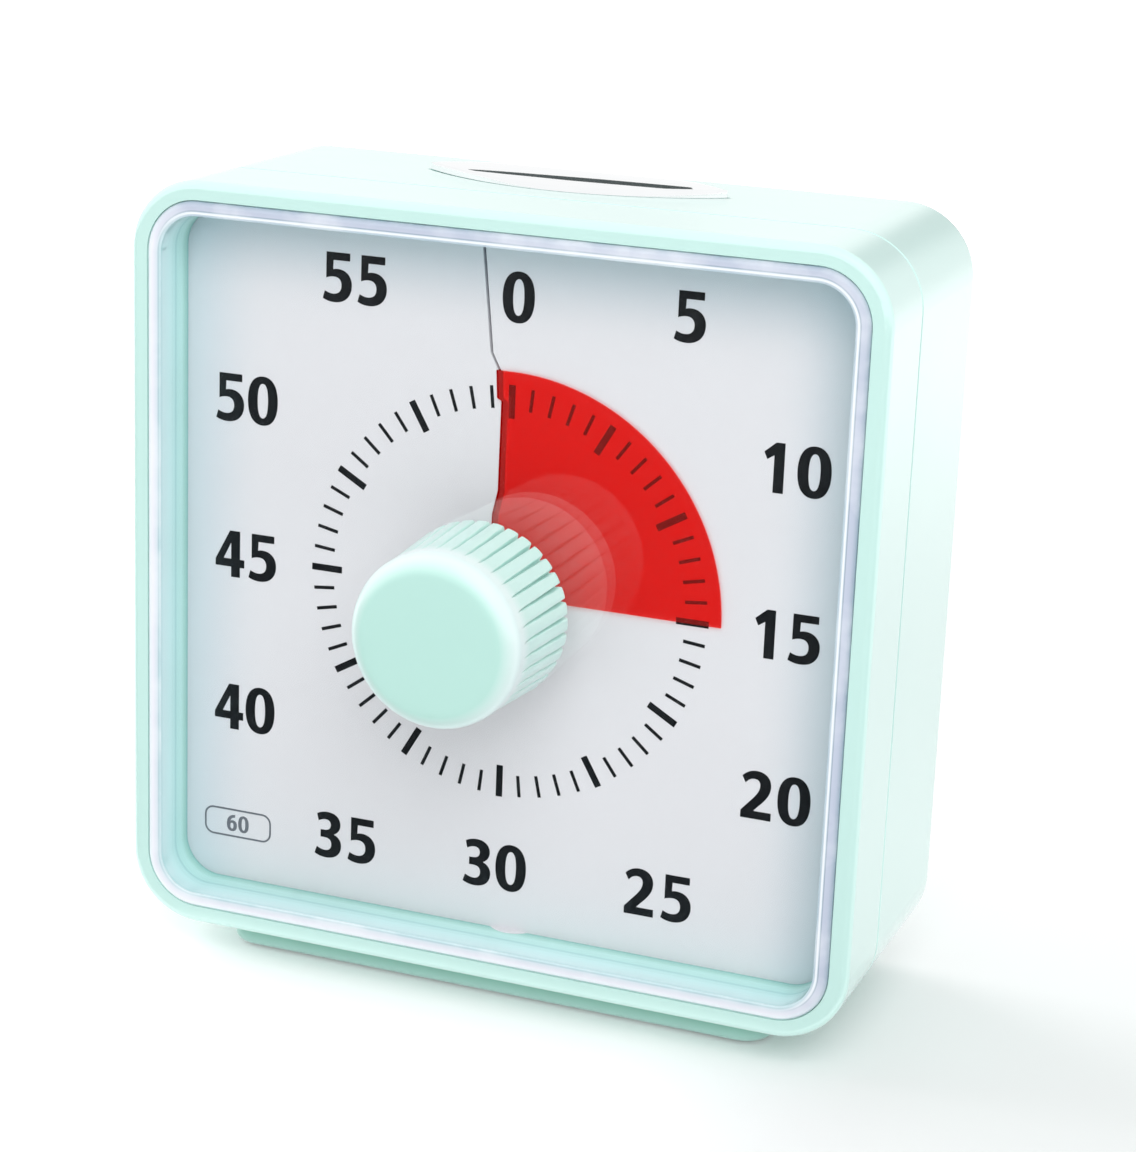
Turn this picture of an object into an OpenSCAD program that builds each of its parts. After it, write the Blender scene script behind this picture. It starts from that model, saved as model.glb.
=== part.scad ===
// Visual countdown timer. A red sheet turns out of a slit in the dial and shows the time left.
// Sizes are in millimetres. X is to the right, Y to the back, Z up.
// The origin is on the table, under the middle of the case.

/* [Case] */
// Width of the case
case_w = 100; // [90:1:125]
// Height of the case
case_h = 100; // [90:1:125]
// Depth of the case without the knob
case_d = 40; // [38:0.5:50]
// Corner radius of the case seen from the front
corner_r = 9.4; // [8.6:0.1:14]
// Wall thickness of both case halves
wall = 2.2; // [1.8:0.1:2.6]
// Width of the rim round the lens
rim_w = 2.4; // [2:0.1:3]
// Depth of the front frame, from the rim to the seam
frame_depth = 13.5; // [12.5:0.1:16.5]
// Rounding of the rim's outer edge
rim_round = 1; // [0.4:0.1:1.5]
// Rounding of the case's rear edge
rear_round = 2; // [0.6:0.1:2]

/* [Foot] */
// Height of the case above the table
foot_lift = 4.5; // [3.5:0.1:6]
// Width of the foot
foot_w = 76.8; // [66:0.2:80]
// Depth of the foot, front to back
foot_d = 30; // [26:0.5:34]

/* [Dial and lens] */
// How far the dial lies behind the rim
dial_drop = 7.2; // [6.8:0.1:9]
// Thickness of the dial plate
dial_t = 1.2; // [1:0.1:1.6]
// Thickness of the lens front
lens_t = 1.6; // [1.2:0.1:2]
// Thickness of the lens side wall
lens_wall = 1.9; // [1.4:0.1:2.4]
// How far the lens stands proud of the rim
lens_proud = 0.2; // [0:0.1:0.6]
// Radius of the red sheet
sheet_r = 29; // [24:0.5:30]
// Thickness of the red sheet
sheet_t = 0.25; // [0.15:0.05:0.4]

/* [Knob] */
// Radius of the knob over its ribs at the base
knob_r = 11.75; // [10:0.05:14]
// Radius of the knob where the ribs run out
knob_neck_r = 11.1; // [9.4:0.05:13.4]
// Height of the knob
knob_h = 16.2; // [14:0.1:20]
// Number of ribs round the knob
knob_ribs = 36; // [24:1:48]
// Radius of the shaft at the knob
shaft_r = 2.5; // [2.2:0.1:3]

/* [Gear train] */
// Tooth module of all wheels
gear_module = 0.4; // [0.35:0.01:0.44]
// Teeth of the wheel on the knob shaft
output_teeth = 50; // [44:1:54]
// Teeth of both pinions
pinion_teeth = 10; // [10:1:12]
// Teeth of the third wheel
third_teeth = 40; // [36:1:42]

/* [Button] */
// Length of the oval button
button_l = 40.8; // [34:0.2:46]
// Width of the oval button
button_w = 15; // [12:0.2:17]
// Height of the button's crown above the case
button_rise = 1.2; // [0.8:0.1:2]
// How far the button goes down
button_travel = 1.2; // [0.6:0.1:1.3]

/* [Battery] */
// Radius of the cell
cell_r = 7.1; // [6.9:0.1:7.3]
// Length of the cell's body without its contact nub
cell_l = 49; // [48:0.1:49.6]

/* [Hidden] */
$fn = 96;

mint = "#D3F3EC";
white = "#EEF2F6";
red = "#E8201D";
steel = "#C2C5C8";
brass = "#C9A650";
copper = "#B4683A";
green = "#2F6B46";
black = "#26282B";

// Clearances: a turning fit, a seat between fixed pieces, a gap round something that moves
run_fit = 0.05;
seat_fit = 0.1;
gap = 0.3;

// Levels run along the depth: 0 is the middle of the case and the front is positive
front_face = case_d / 2;
rear_face = -case_d / 2;
seam = front_face - frame_depth;
dial_face = front_face - dial_drop;
dial_back = dial_face - dial_t;
ledge_t = 1.6;
ledge_back = dial_back - ledge_t;
lens_face = front_face + lens_proud;
rear_inside = rear_face + wall;
axis_up = foot_lift + case_h / 2;
case_top = foot_lift + case_h;

// Front frame: shelf beside the dial for the lens wall, ledge under the dial, tongue at the seam
shelf_in = rim_w + 1.1;
ledge_in = shelf_in + 2.2;
tongue_t = 1;
tongue_l = 2;
seam_groove = 0.3;
edge_round = min(rear_round, wall - 0.1);

// Foot: top of the pad in its recess, and the seat of the screw heads
foot_pad_top = 0.8;
foot_pad_in = 3.2;
foot_head_seat = 2.6;

// Case screws
screw_in = 8.5;
screw_x = case_w / 2 - screw_in;
screw_y = case_h / 2 - screw_in;
screw_r = 1.3;
screw_core_r = 1;
screw_head_r = 2.6;
boss_r = 3.4;
boss_joint = seam - 3.5;
rear_boss_r = 4.2;
head_seat = boss_joint - 9;
screw_grip_l = 5.5;

// Dial posts and the movement plate they carry
post_in = 17;
post_x = case_w / 2 - post_in;
post_y = case_h / 2 - post_in;
post_r = 2.6;
post_l = 3;
small_core_r = 0.8;
small_head_r = 1.7;
small_head_t = 1.2;
plate_t = 1.4;
plate_front = dial_back - post_l;
plate_back = plate_front - plate_t;
dial_hole_r = 3.4;

// Slit in the dial, from the shaft hole to the top edge, and its width
slit_path = [[-1.8, 3], [-1.8, 10.3], [-1.1, 13.5], [-1, 25.1], [-1.6, 25.4], [-1.8, sheet_r],
    [-2.9, sheet_r + 2.1], [-4.7, case_h / 2 - shelf_in + 1]];
slit_w = 0.9;
slit_w_above = 0.4;
sheet_front = dial_face + gap;
sheet_back = dial_back - 0.7 - sheet_t;
hub_r = 7;
hub_t = 1.3;

// Gear teeth: how far they stand over the pitch circle and reach below it, in modules
tooth_over = 0.85;
tooth_under = 1.15;
wheel_t = 1.2;
third_x = -gear_module * (output_teeth + pinion_teeth) / 2;
third_tip_r = gear_module * (third_teeth / 2 + tooth_over);
rotor_y = -gear_module * (third_teeth + pinion_teeth) / 2;

// Movement cover: half its width, which clears the third wheel, and half its height
cover_t = 1.4;
cover_half = [third_tip_r - third_x + 1.26 + cover_t, 23];
cover_r = 3;
cover_depth = 13.2;
cover_back = plate_back - cover_depth;
cover_floor = cover_back + cover_t;
cover_screw = cover_half - [3.6, 3.6];
cover_post_r = 2.6;
output_at = plate_back - 2.6;
third_at = output_at - 2;
shaft_foot_r = 2;
shaft_body_r = 3;
bush_r = shaft_r + 1;
bush_boss_r = bush_r + 1.2;
bush_front = dial_back - 0.6;
pin_r = 0.5;
pin_hole_t = 1;
third_boss_top = third_at - 0.4;
rotor_boss_top = cover_floor + 2;
magnet_r = 3.2;
magnet_t = 3;
stator_t = 0.8;
stator_at = rotor_boss_top + 0.2 + (magnet_t - stator_t) / 2;
core_y = rotor_y - 6;
core_w = 2.4;
stator_right = 17.6;
stator_post_x = 16;
stator_post_r = 1.3;
coil_from = -5.4;
coil_to = 13.6;
winding_r = 3.1;
board_t = 1;
board_at = cover_floor + 1.2;
board_y = 13.8;
board_size = [32, 13.4];
board_post_x = 14;

// Knob
knob_base = lens_face + 0.4;
knob_top = knob_base + knob_h;
knob_shoulder = 1.9;
knob_wall = 1.6;
knob_boss_r = shaft_r + 2.1;
rib_half = PI * knob_r / knob_ribs;
shaft_flat = 1.9;
shaft_top = knob_top - 3.6;

// Button, centred on the top of the rear shell
button_y = -(seam + rear_face) / 2;
button_gap = 0.35;
top_inside = case_top - wall;
carrier_t = 1.7;
carrier_tip = 2.5;
carrier_w = min(button_w, 2 * (-rear_inside - button_y - 1.9));
carrier_top = top_inside - 0.2;
carrier_under = carrier_top - carrier_t;
guide_t = 1.4;
guide_w = 15;
guide_wall_x = button_l / 2 + 3.6;
peg_x = 10;
peg_r = 1.25;
guide_top = carrier_under - 6.4;
guide_screw_x = button_l / 2 + 8.6;
spring_x = 13;
spring_r = 1.9;
spring_wire = 0.3;
push_r = 1.6;
push_half = 3;
push_board_t = 1;
push_t = 3.6;

// Buzzer and volume switch on the back wall
buzzer_x = -24;
buzzer_y = 17;
buzzer_r = 13.35;
buzzer_seat = rear_inside + 2.4;
volume_x = case_w / 2 - 16;
volume_y = 18;
volume_travel = 2;
volume_head = [4.4, 3];
volume_stem = [2.4, 2];
volume_body = [12, 5.6];
volume_at = rear_inside + 1;
volume_t = 4.4;
volume_post_x = 8.2;

// Battery bay, with its cell lying across the case
bay_y = -case_h / 2 + 17;
bay_half_l = 28.4;
bay_half_w = 8;
bay_wall = 1.4;
door_t = 1.6;
door_half_l = 31;
door_half_w = 10.5;
door_under = rear_face + door_t;
cell_at = door_under + 0.2 + cell_r;
bay_floor = cell_at + cell_r + 0.9;
bay_pad = door_under + 1.8;
contact_t = 0.3;
contact_bump = 1.3;
cell_nub = 1.6;
cell_from = bay_half_l - contact_t - contact_bump - 0.1 - cell_nub - cell_l;
tab_x = 18;
tab_w = 8;
tab_reach = 1;
tab_t = 1.2;
notch_r = 4.4;

// Lug on the dial that seats in a notch of the lens wall
lug_x = 2;
lug_r = 3.4;
lug_h = 1.2;

// Places a piece drawn face on: X to the right, Y up, Z towards the front, from the dial's axis
module facing() {
    translate([0, 0, axis_up]) rotate([90, 0, 0]) children();
}

// Stands a flat outline up between two levels
module between(from, to) {
    translate([0, 0, from]) linear_extrude(to - from) children();
}

module rounded_rect(w, h, r) {
    square([w - 2 * r, h], center = true);
    square([w, h - 2 * r], center = true);
    for (x = [-1, 1], y = [-1, 1]) translate([x * (w / 2 - r), y * (h / 2 - r)]) circle(r);
}

// Sweeps a profile round a rounded rectangle: its x runs outwards from the edge, its y is the level
module sweep_round(w, h, r) {
    for (turn = [0 : 3]) {
        straight = turn % 2 == 0 ? h - 2 * r : w - 2 * r;
        reach = turn % 2 == 0 ? w / 2 : h / 2;
        rotate(90 * turn) {
            translate([reach, 0, 0]) rotate([90, 0, 0]) linear_extrude(straight, center = true) children();
            translate([reach - r, straight / 2, 0]) rotate_extrude(angle = 90) translate([r, 0]) children();
        }
    }
}

// Puts a copy at each corner of a rectangle of half size x by y
module at_corners(x, y) {
    for (i = [-1, 1], j = [-1, 1]) translate([i * x, j * y, 0]) children();
}

module tube(outer, inner, from, to) {
    between(from, to) difference() {
        circle(outer);
        circle(inner);
    }
}

module rod(r, from, to) {
    translate([0, 0, from]) cylinder(r = r, h = to - from);
}

// Pan head screw that points up: the head hangs below the seat, the thread starts at grip
module screw(head_r, head_t, shank_r, core_r, seat, grip, tip) {
    difference() {
        rod(head_r, seat - head_t, seat);
        for (turn = [0, 90]) {
            rotate(turn) translate([-head_r * 0.55, -0.3, seat - head_t - 1])
                cube([head_r * 1.1, 0.6, 1 + head_t * 0.5]);
        }
    }
    rod(shank_r, seat, grip);
    rod(core_r, grip, tip);
}

// Oval with pointed ends, from two arcs; grow widens it all round
module oval(l, w, grow) {
    arc_r = (l * l + w * w) / (4 * w);
    intersection() {
        translate([0, arc_r - w / 2]) circle(arc_r + grow, $fn = 240);
        translate([0, w / 2 - arc_r]) circle(arc_r + grow, $fn = 240);
    }
}

// Ring of points round a circle that stands across a coil at a turn angle
function coil_ring(coil_r, rise, wire, angle, sides) = [for (s = [0 : sides - 1])
    let (out = coil_r + wire * cos(360 * s / sides))
    [out * cos(angle), out * sin(angle), rise + wire * sin(360 * s / sides)]];

// Coil spring along Z from 0 to length; the radius goes from foot_r to head_r
module coil(foot_r, head_r, length, wire, turns) {
    sides = 8;
    steps = turns * 12;
    rings = [for (i = [0 : steps]) coil_ring(foot_r + (head_r - foot_r) * i / steps,
        wire + (length - 2 * wire) * i / steps, wire, 360 * turns * i / steps, sides)];
    points = [for (ring = rings) each ring];
    skin = [for (i = [0 : steps - 1], s = [0 : sides - 1])
        let (next = (s + 1) % sides, here = i * sides, there = (i + 1) * sides)
        each [[here + s, there + s, there + next], [here + s, there + next, here + next]]];
    first = [for (s = [0 : sides - 1]) s];
    last = [for (s = [sides - 1 : -1 : 0]) steps * sides + s];
    polyhedron(points, concat(skin, [first, last]));
}

// Involute gear outline with one tooth on the +X side
pressure_angle = 25;
tooth_share = 0.8;
function involute(angle) = tan(angle) * 180 / PI - angle;
function tooth_half(teeth, base_r, r) = 90 / teeth * tooth_share + involute(pressure_angle)
    - involute(acos(min(1, base_r / r)));
function polar(r, angle) = [r * cos(angle), r * sin(angle)];

module gear(teeth) {
    pitch_r = gear_module * teeth / 2;
    base_r = pitch_r * cos(pressure_angle);
    root_r = pitch_r - tooth_under * gear_module;
    tip_r = pitch_r + tooth_over * gear_module;
    start_r = max(base_r, root_r);
    flank = [for (i = [0 : 3]) start_r + (tip_r - start_r) * i / 3];
    polygon([for (k = [0 : teeth - 1]) each concat(
        [polar(root_r, 360 * k / teeth - tooth_half(teeth, base_r, start_r))],
        [for (r = flank) polar(r, 360 * k / teeth - tooth_half(teeth, base_r, r))],
        [for (i = [3 : -1 : 0]) polar(flank[i], 360 * k / teeth + tooth_half(teeth, base_r, flank[i]))],
        [polar(root_r, 360 * k / teeth + tooth_half(teeth, base_r, start_r))])]);
}

// Case

module seam_cut() {
    translate([0, seam]) rotate(45) square(seam_groove * sqrt(2), center = true);
}

module frame_profile() {
    difference() {
        union() {
            translate([-rim_w, dial_face]) square([rim_w, front_face - rim_round - dial_face]);
            translate([-rim_w, dial_face]) square([rim_w - rim_round, front_face - dial_face]);
            translate([-rim_round, front_face - rim_round]) circle(rim_round);
            translate([-shelf_in, dial_back]) square([shelf_in, dial_t]);
            translate([-ledge_in, ledge_back]) square([ledge_in, ledge_t]);
            translate([-wall, seam]) square([wall, ledge_back - seam]);
            translate([-wall, seam - tongue_l]) square([tongue_t, tongue_l]);
        }
        seam_cut();
    }
}

module front_frame() {
    color(mint) facing() difference() {
        union() {
            sweep_round(case_w, case_h, corner_r) frame_profile();
            at_corners(screw_x, screw_y) rod(boss_r, boss_joint, dial_back);
        }
        at_corners(screw_x, screw_y) rod(screw_core_r + run_fit, boss_joint - 1, ledge_back);
    }
}

module rear_profile() {
    difference() {
        union() {
            translate([-wall, rear_face + edge_round]) square([wall, seam - rear_face - edge_round]);
            translate([-wall, rear_face]) square([wall - edge_round, edge_round]);
            translate([-edge_round, rear_face + edge_round]) circle(edge_round);
        }
        translate([-wall - 1, seam - tongue_l - seat_fit]) square([1 + tongue_t + seat_fit, tongue_l + 1]);
        seam_cut();
    }
}

// Boss of a case screw, with a rib out to the corner of the wall
module rear_boss() {
    rod(rear_boss_r, rear_inside - 0.5, head_seat + 2);
    rod(boss_r, head_seat, boss_joint);
    rib_t = 1.2;
    rib_from = boss_r - 1;
    rib_to = (screw_in - corner_r) * sqrt(2) + corner_r - wall / 2;
    rotate(45) translate([rib_from, -rib_t / 2, rear_inside - 0.5]) cube([rib_to - rib_from, rib_t, 12]);
}

module bay_form() {
    translate([0, bay_y]) {
        between(rear_inside - 0.5, bay_pad)
            square(2 * [door_half_l + 3, door_half_w + 3], center = true);
        between(rear_inside - 0.5, bay_floor + bay_wall)
            square(2 * [bay_half_l + bay_wall, bay_half_w + bay_wall], center = true);
    }
}

// Hollow of the bay with two saddles left under the cell, the door's recess and the pockets of its tabs
module bay_cut() {
    saddle_x = 14;
    saddle_t = 1.6;
    translate([0, bay_y, 0]) {
        difference() {
            between(rear_face - 1, bay_floor) square(2 * [bay_half_l, bay_half_w], center = true);
            for (x = [-saddle_x, saddle_x]) difference() {
                translate([x - saddle_t / 2, -bay_half_w, cell_at + 3])
                    cube([saddle_t, 2 * bay_half_w, cell_r]);
                translate([x, 0, cell_at]) rotate([0, 90, 0])
                    cylinder(r = cell_r + seat_fit, h = saddle_t + 1, center = true);
            }
        }
        between(rear_face - 1, door_under)
            square(2 * [door_half_l + seat_fit, door_half_w + seat_fit], center = true);
        for (x = [-tab_x, tab_x]) {
            translate([x - tab_w / 2 - gap, -door_half_w - 1.8, door_under])
                cube([tab_w + 2 * gap, door_half_w - bay_half_w + 1.9, bay_pad - door_under + 0.5]);
        }
        // Finger notch at the door's upper edge
        translate([0, door_half_w, rear_face - 3]) rotate([90, 0, 0])
            cylinder(r = notch_r, h = 5, center = true);
    }
}

module sound_holes() {
    for (ring = [0 : 2], k = [0 : max(0, 6 * ring - 1)]) {
        angle = ring == 0 ? 0 : 60 / ring * k;
        translate([buzzer_x + 3.6 * ring * cos(angle), buzzer_y + 3.6 * ring * sin(angle), rear_face - 1])
            cylinder(r = 0.9, h = wall + 2);
    }
}

module at_foot_screws() {
    for (x = [-1, 1]) translate([x * (foot_w / 2 - 8.4), 4, 0]) children();
}

module at_guide_screws() {
    for (x = [-1, 1]) translate([x * guide_screw_x, button_y, 0]) children();
}

module rear_shell() {
    color(mint) difference() {
        union() {
            facing() {
                sweep_round(case_w, case_h, corner_r) rear_profile();
                between(rear_face, rear_inside)
                    rounded_rect(case_w - 2 * edge_round, case_h - 2 * edge_round, corner_r - edge_round);
                for (turn = [0 : 3]) {
                    flip = turn % 2;
                    at = flip == 0 ? [screw_x, screw_y] : [screw_y, screw_x];
                    rotate(90 * turn) translate([at[0], at[1], 0]) rear_boss();
                }
                bay_form();
                translate([buzzer_x, buzzer_y, 0]) {
                    tube(buzzer_r + 1.25, buzzer_r - 0.95, rear_inside - 0.5, buzzer_seat);
                    tube(buzzer_r + 1.25, buzzer_r + run_fit, buzzer_seat - 0.5, buzzer_seat + 0.6);
                }
                for (x = [-1, 1]) translate([volume_x + x * volume_post_x, volume_y, 0])
                    rod(1.8, rear_inside - 0.5, volume_at + volume_t);
            }
            at_foot_screws() rod(3, foot_lift + 0.5, foot_lift + wall + 4.3);
            at_guide_screws() rod(2.6, guide_top, case_top - 0.5);
        }
        facing() {
            at_corners(screw_x, screw_y) {
                rod(screw_r + 0.2, head_seat - 1, boss_joint + 1);
                rod(screw_head_r + gap, rear_face - 1, head_seat);
            }
            bay_cut();
            sound_holes();
            translate([volume_x, volume_y, 0]) {
                between(rear_face - 1, rear_face + 1) rounded_rect(16, 8, 2);
                between(rear_face, rear_inside + 1) square([volume_head[0] + 2 * volume_travel + 2 * gap,
                    volume_head[1] + 2 * gap], center = true);
            }
            for (x = [-1, 1]) translate([volume_x + x * volume_post_x, volume_y, 0])
                rod(small_core_r + run_fit, rear_inside + 1, volume_at + volume_t + 1);
        }
        translate([0, button_y, 0]) between(top_inside - 1, case_top + 1)
            oval(button_l, button_w, button_gap);
        at_foot_screws() rod(screw_core_r + run_fit, foot_lift - 1, foot_lift + wall + 3.5);
        at_guide_screws() rod(small_core_r + run_fit, guide_top - 1, case_top - 1);
    }
}

module lens_profile() {
    rim_edge = 0.4;
    difference() {
        translate([-lens_wall, dial_face]) square([lens_wall, lens_face - dial_face]);
        translate([0, lens_face]) rotate(45) square(rim_edge * sqrt(2), center = true);
    }
}

module lens() {
    lens_w = case_w - 2 * rim_w - 2 * seat_fit;
    lens_h = case_h - 2 * rim_w - 2 * seat_fit;
    lens_r = corner_r - rim_w - seat_fit;
    color(white, 0.35) facing() difference() {
        union() {
            sweep_round(lens_w, lens_h, lens_r) lens_profile();
            between(lens_face - lens_t, lens_face)
                rounded_rect(lens_w - lens_wall, lens_h - lens_wall, lens_r - lens_wall / 2);
        }
        rod(shaft_r + 1.1, lens_face - lens_t - 1, lens_face + 1);
        dial_lug(-lens_h / 2 - 1, lens_wall + 2, seat_fit);
    }
}

// Half round block across the lower edge of the dial, grown to cut its notch in the lens
module dial_lug(from_y, length, grow) {
    translate([lug_x, from_y, dial_face + lug_h - lug_r]) intersection() {
        rotate([-90, 0, 0]) cylinder(r = lug_r + grow, h = length);
        translate([-lug_r, -1, lug_r - lug_h - grow - 0.2])
            cube([2 * lug_r, length + 2, lug_h + 2 * grow + 0.2]);
    }
}

// Band of a width along the slit between two heights, for the slit and for the sheet in it
module slit_band(width, path) {
    polygon(concat([for (p = path) p - [width / 2, 0]],
        [for (i = [len(path) - 1 : -1 : 0]) path[i] + [width / 2, 0]]));
}

module dial_plate() {
    inset = shelf_in + seat_fit + 0.05;
    color(white) facing() difference() {
        union() {
            between(dial_back, dial_face)
                rounded_rect(case_w - 2 * inset, case_h - 2 * inset, corner_r - inset);
            at_corners(post_x, post_y) rod(post_r, plate_front, dial_back + 0.5);
            dial_lug(inset - case_h / 2, 0.8, 0);
        }
        rod(dial_hole_r, dial_back - 1, dial_face + 1);
        between(dial_back - 1, dial_face + 1) {
            slit_band(slit_w, [for (p = slit_path) if (p[1] <= sheet_r) p]);
            slit_band(slit_w_above, [for (p = slit_path) if (p[1] >= sheet_r) p]);
        }
        at_corners(post_x, post_y) rod(small_core_r + run_fit, plate_front - 1, dial_back);
    }
}

module pad_outline(inset) {
    edge = foot_pad_in + inset;
    rounded_rect(foot_w - 2 * edge, foot_d - 2 * edge, 2 - inset);
}

module foot_base() {
    foot_r = 4;
    edge = 1;
    base = 0.4;
    color(mint) difference() {
        union() {
            between(base, foot_lift) rounded_rect(foot_w - 2 * edge, foot_d - 2 * edge, foot_r - edge);
            sweep_round(foot_w, foot_d, foot_r) {
                translate([-edge, base + edge]) square([edge, foot_lift - base - edge]);
                translate([-edge, base + edge]) circle(edge);
            }
        }
        between(-1, foot_pad_top) pad_outline(0);
        at_foot_screws() {
            rod(screw_r + 0.2, 0, foot_lift + 1);
            rod(screw_head_r + gap, 0, foot_head_seat);
        }
    }
}

module foot_pad() {
    color(black) between(0, foot_pad_top) pad_outline(seat_fit);
}

module case_screws() {
    color(steel) facing() at_corners(screw_x, screw_y)
        screw(screw_head_r, 1.8, screw_r, screw_core_r, head_seat, boss_joint, boss_joint + screw_grip_l);
}

module foot_screws() {
    color(steel) at_foot_screws()
        screw(screw_head_r, 1.6, screw_r, screw_core_r, foot_head_seat, foot_lift, foot_lift + wall + 3);
}

// Dial drive

// Part of the sheet in front of the dial, part behind it, and the strip that passes through the slit
module red_disk() {
    in_slit = [for (p = slit_path) if (p[1] > hub_r && p[1] <= sheet_r) p];
    inner = concat([[in_slit[0][0], hub_r]], in_slit);
    far = 2 * sheet_r;
    shown = concat(inner, [[0, far], [far, far], [far, 0], [in_slit[0][0], 0]]);
    color(red) facing() {
        between(sheet_front, sheet_front + sheet_t) difference() {
            union() {
                intersection() {
                    circle(sheet_r);
                    polygon(shown);
                }
                circle(hub_r);
            }
            circle(shaft_r + run_fit);
        }
        between(sheet_back, sheet_front + sheet_t) intersection() {
            circle(sheet_r);
            slit_band(sheet_t, inner);
        }
        between(sheet_back, sheet_back + sheet_t) difference() {
            circle(sheet_r);
            polygon(shown);
            circle(hub_r);
        }
    }
}

module disk_hub() {
    color(white) facing()
        tube(hub_r, shaft_r + run_fit, sheet_front + sheet_t, sheet_front + sheet_t + hub_t);
}

// Narrow grooves that part the knob's ribs; they run out where the knob narrows to their root
module rib_grooves() {
    root_r = min(knob_neck_r + 0.08, knob_r - 0.3);
    open_r = max(knob_r, knob_neck_r) + 0.2;
    root_w = 0.07;
    open_w = rib_half * 0.32;
    for (k = [0 : knob_ribs - 1]) rotate(360 / knob_ribs * (k + 0.5))
        polygon([[root_r, -root_w], [open_r, -open_w], [open_r, open_w], [root_r, root_w]]);
}

module knob_form() {
    shoulder_at = knob_top - knob_shoulder;
    rotate_extrude() {
        polygon([[0, knob_base], [knob_r, knob_base], [knob_neck_r, shoulder_at - 2.2],
            [knob_neck_r, shoulder_at], [0, shoulder_at]]);
        translate([0, shoulder_at - 1]) square([knob_neck_r - knob_shoulder, knob_shoulder + 1]);
        intersection() {
            translate([knob_neck_r - knob_shoulder, shoulder_at]) circle(knob_shoulder);
            translate([0, shoulder_at]) square(2 * knob_r);
        }
    }
}

// Bar with a flat on its +X side
module flat_bar(r, flat, from, to) {
    difference() {
        rod(r, from, to);
        translate([flat, -2 * r, from - 1]) cube([2 * r, 4 * r, to - from + 2]);
    }
}

module knob() {
    color(mint) facing() difference() {
        knob_form();
        between(knob_base - 1, knob_top - knob_shoulder) rib_grooves();
        tube(knob_neck_r - knob_wall, knob_boss_r, knob_base - 1, knob_top - knob_shoulder - 0.6);
        flat_bar(shaft_r + run_fit, shaft_flat + run_fit, knob_base - 1, shaft_top + 0.2);
    }
}

module knob_shaft() {
    clip_at = output_at + wheel_t + 0.3;
    color(steel) facing() difference() {
        union() {
            rod(shaft_foot_r, cover_floor + 0.2, cover_floor + 4);
            rod(shaft_body_r, cover_floor + 4, output_at);
            rod(shaft_r, output_at, lens_face);
            flat_bar(shaft_r, shaft_flat, lens_face, shaft_top);
        }
        tube(shaft_r + 1, shaft_r - 0.4, clip_at, clip_at + 0.5);
    }
}

module output_wheel() {
    color(white) facing() between(output_at, output_at + wheel_t) difference() {
        rotate(180) gear(output_teeth);
        circle(shaft_r + run_fit);
        for (k = [0 : 4]) rotate(72 * k + 36) translate([gear_module * output_teeth * 0.31, 0]) circle(1.7);
    }
}

module clutch_washer() {
    color(steel) facing()
        tube(shaft_r + 2, shaft_r + run_fit, output_at + wheel_t, output_at + wheel_t + 0.25);
}

// Spring clip that snaps into the shaft's groove from the side
module shaft_clip() {
    clip_at = output_at + wheel_t + 0.3;
    color(steel) facing() between(clip_at + 0.05, clip_at + 0.45) difference() {
        circle(shaft_r + 1.8);
        circle(shaft_r - 0.4 + run_fit);
        translate([0, -shaft_r + 0.8]) square([8, 2 * shaft_r - 1.6]);
    }
}

module shaft_bush() {
    color(brass) facing() tube(bush_r, shaft_r + run_fit, plate_back, bush_front);
}

// Movement

module at_posts() {
    at_corners(post_x, post_y) children();
}

module at_cover_screws() {
    at_corners(cover_screw[0], cover_screw[1]) children();
}

module movement_plate() {
    arm_w = 8;
    arm_turn = atan2(post_y, post_x);
    arm_l = 2 * (norm([post_x, post_y]) + 3.6);
    color(white) facing() difference() {
        union() {
            between(plate_back, plate_front) {
                rounded_rect(2 * cover_half[0], 2 * cover_half[1], cover_r);
                for (turn = [arm_turn, -arm_turn]) rotate(turn) square([arm_l, arm_w], center = true);
            }
            rod(bush_boss_r, plate_back, bush_front);
        }
        rod(bush_r + run_fit, plate_back - 1, bush_front + 1);
        at_posts() rod(small_core_r + gap, plate_back - 1, plate_front + 1);
        at_cover_screws() rod(small_core_r + gap, plate_back - 1, plate_front + 1);
        translate([third_x, 0, 0]) rod(pin_r + run_fit, plate_back - 1, plate_back + pin_hole_t);
        translate([third_x, rotor_y, 0]) rod(pin_r + run_fit, plate_back - 1, plate_back + pin_hole_t);
    }
}

module movement_cover() {
    color(white) facing() difference() {
        union() {
            difference() {
                between(cover_back, plate_back)
                    rounded_rect(2 * cover_half[0], 2 * cover_half[1], cover_r);
                between(cover_floor, plate_back + 1) rounded_rect(2 * (cover_half[0] - cover_t),
                    2 * (cover_half[1] - cover_t), cover_r - cover_t);
            }
            at_cover_screws() rod(cover_post_r, cover_floor - 0.5, plate_back);
            rod(shaft_foot_r + 1.6, cover_floor - 0.5, cover_floor + 3.6);
            translate([third_x, 0, 0]) rod(1.5, cover_floor - 0.5, third_boss_top);
            translate([third_x, rotor_y, 0]) rod(1.5, cover_floor - 0.5, rotor_boss_top);
            for (y = [rotor_y + 3.2, core_y]) translate([stator_post_x, y, 0])
                rod(stator_post_r, cover_floor - 0.5, stator_at);
            for (x = [-1, 1]) translate([board_post_x * x, board_y, 0])
                rod(1.6, cover_floor - 0.5, board_at);
        }
        rod(shaft_foot_r + run_fit, cover_floor, cover_floor + 5);
        at_cover_screws() rod(small_core_r + run_fit, cover_floor + 2, plate_back + 1);
        translate([third_x, 0, 0]) rod(pin_r + run_fit, cover_floor, third_boss_top + 1);
        translate([third_x, rotor_y, 0]) rod(pin_r + run_fit, cover_floor, rotor_boss_top + 1);
    }
}

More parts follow.
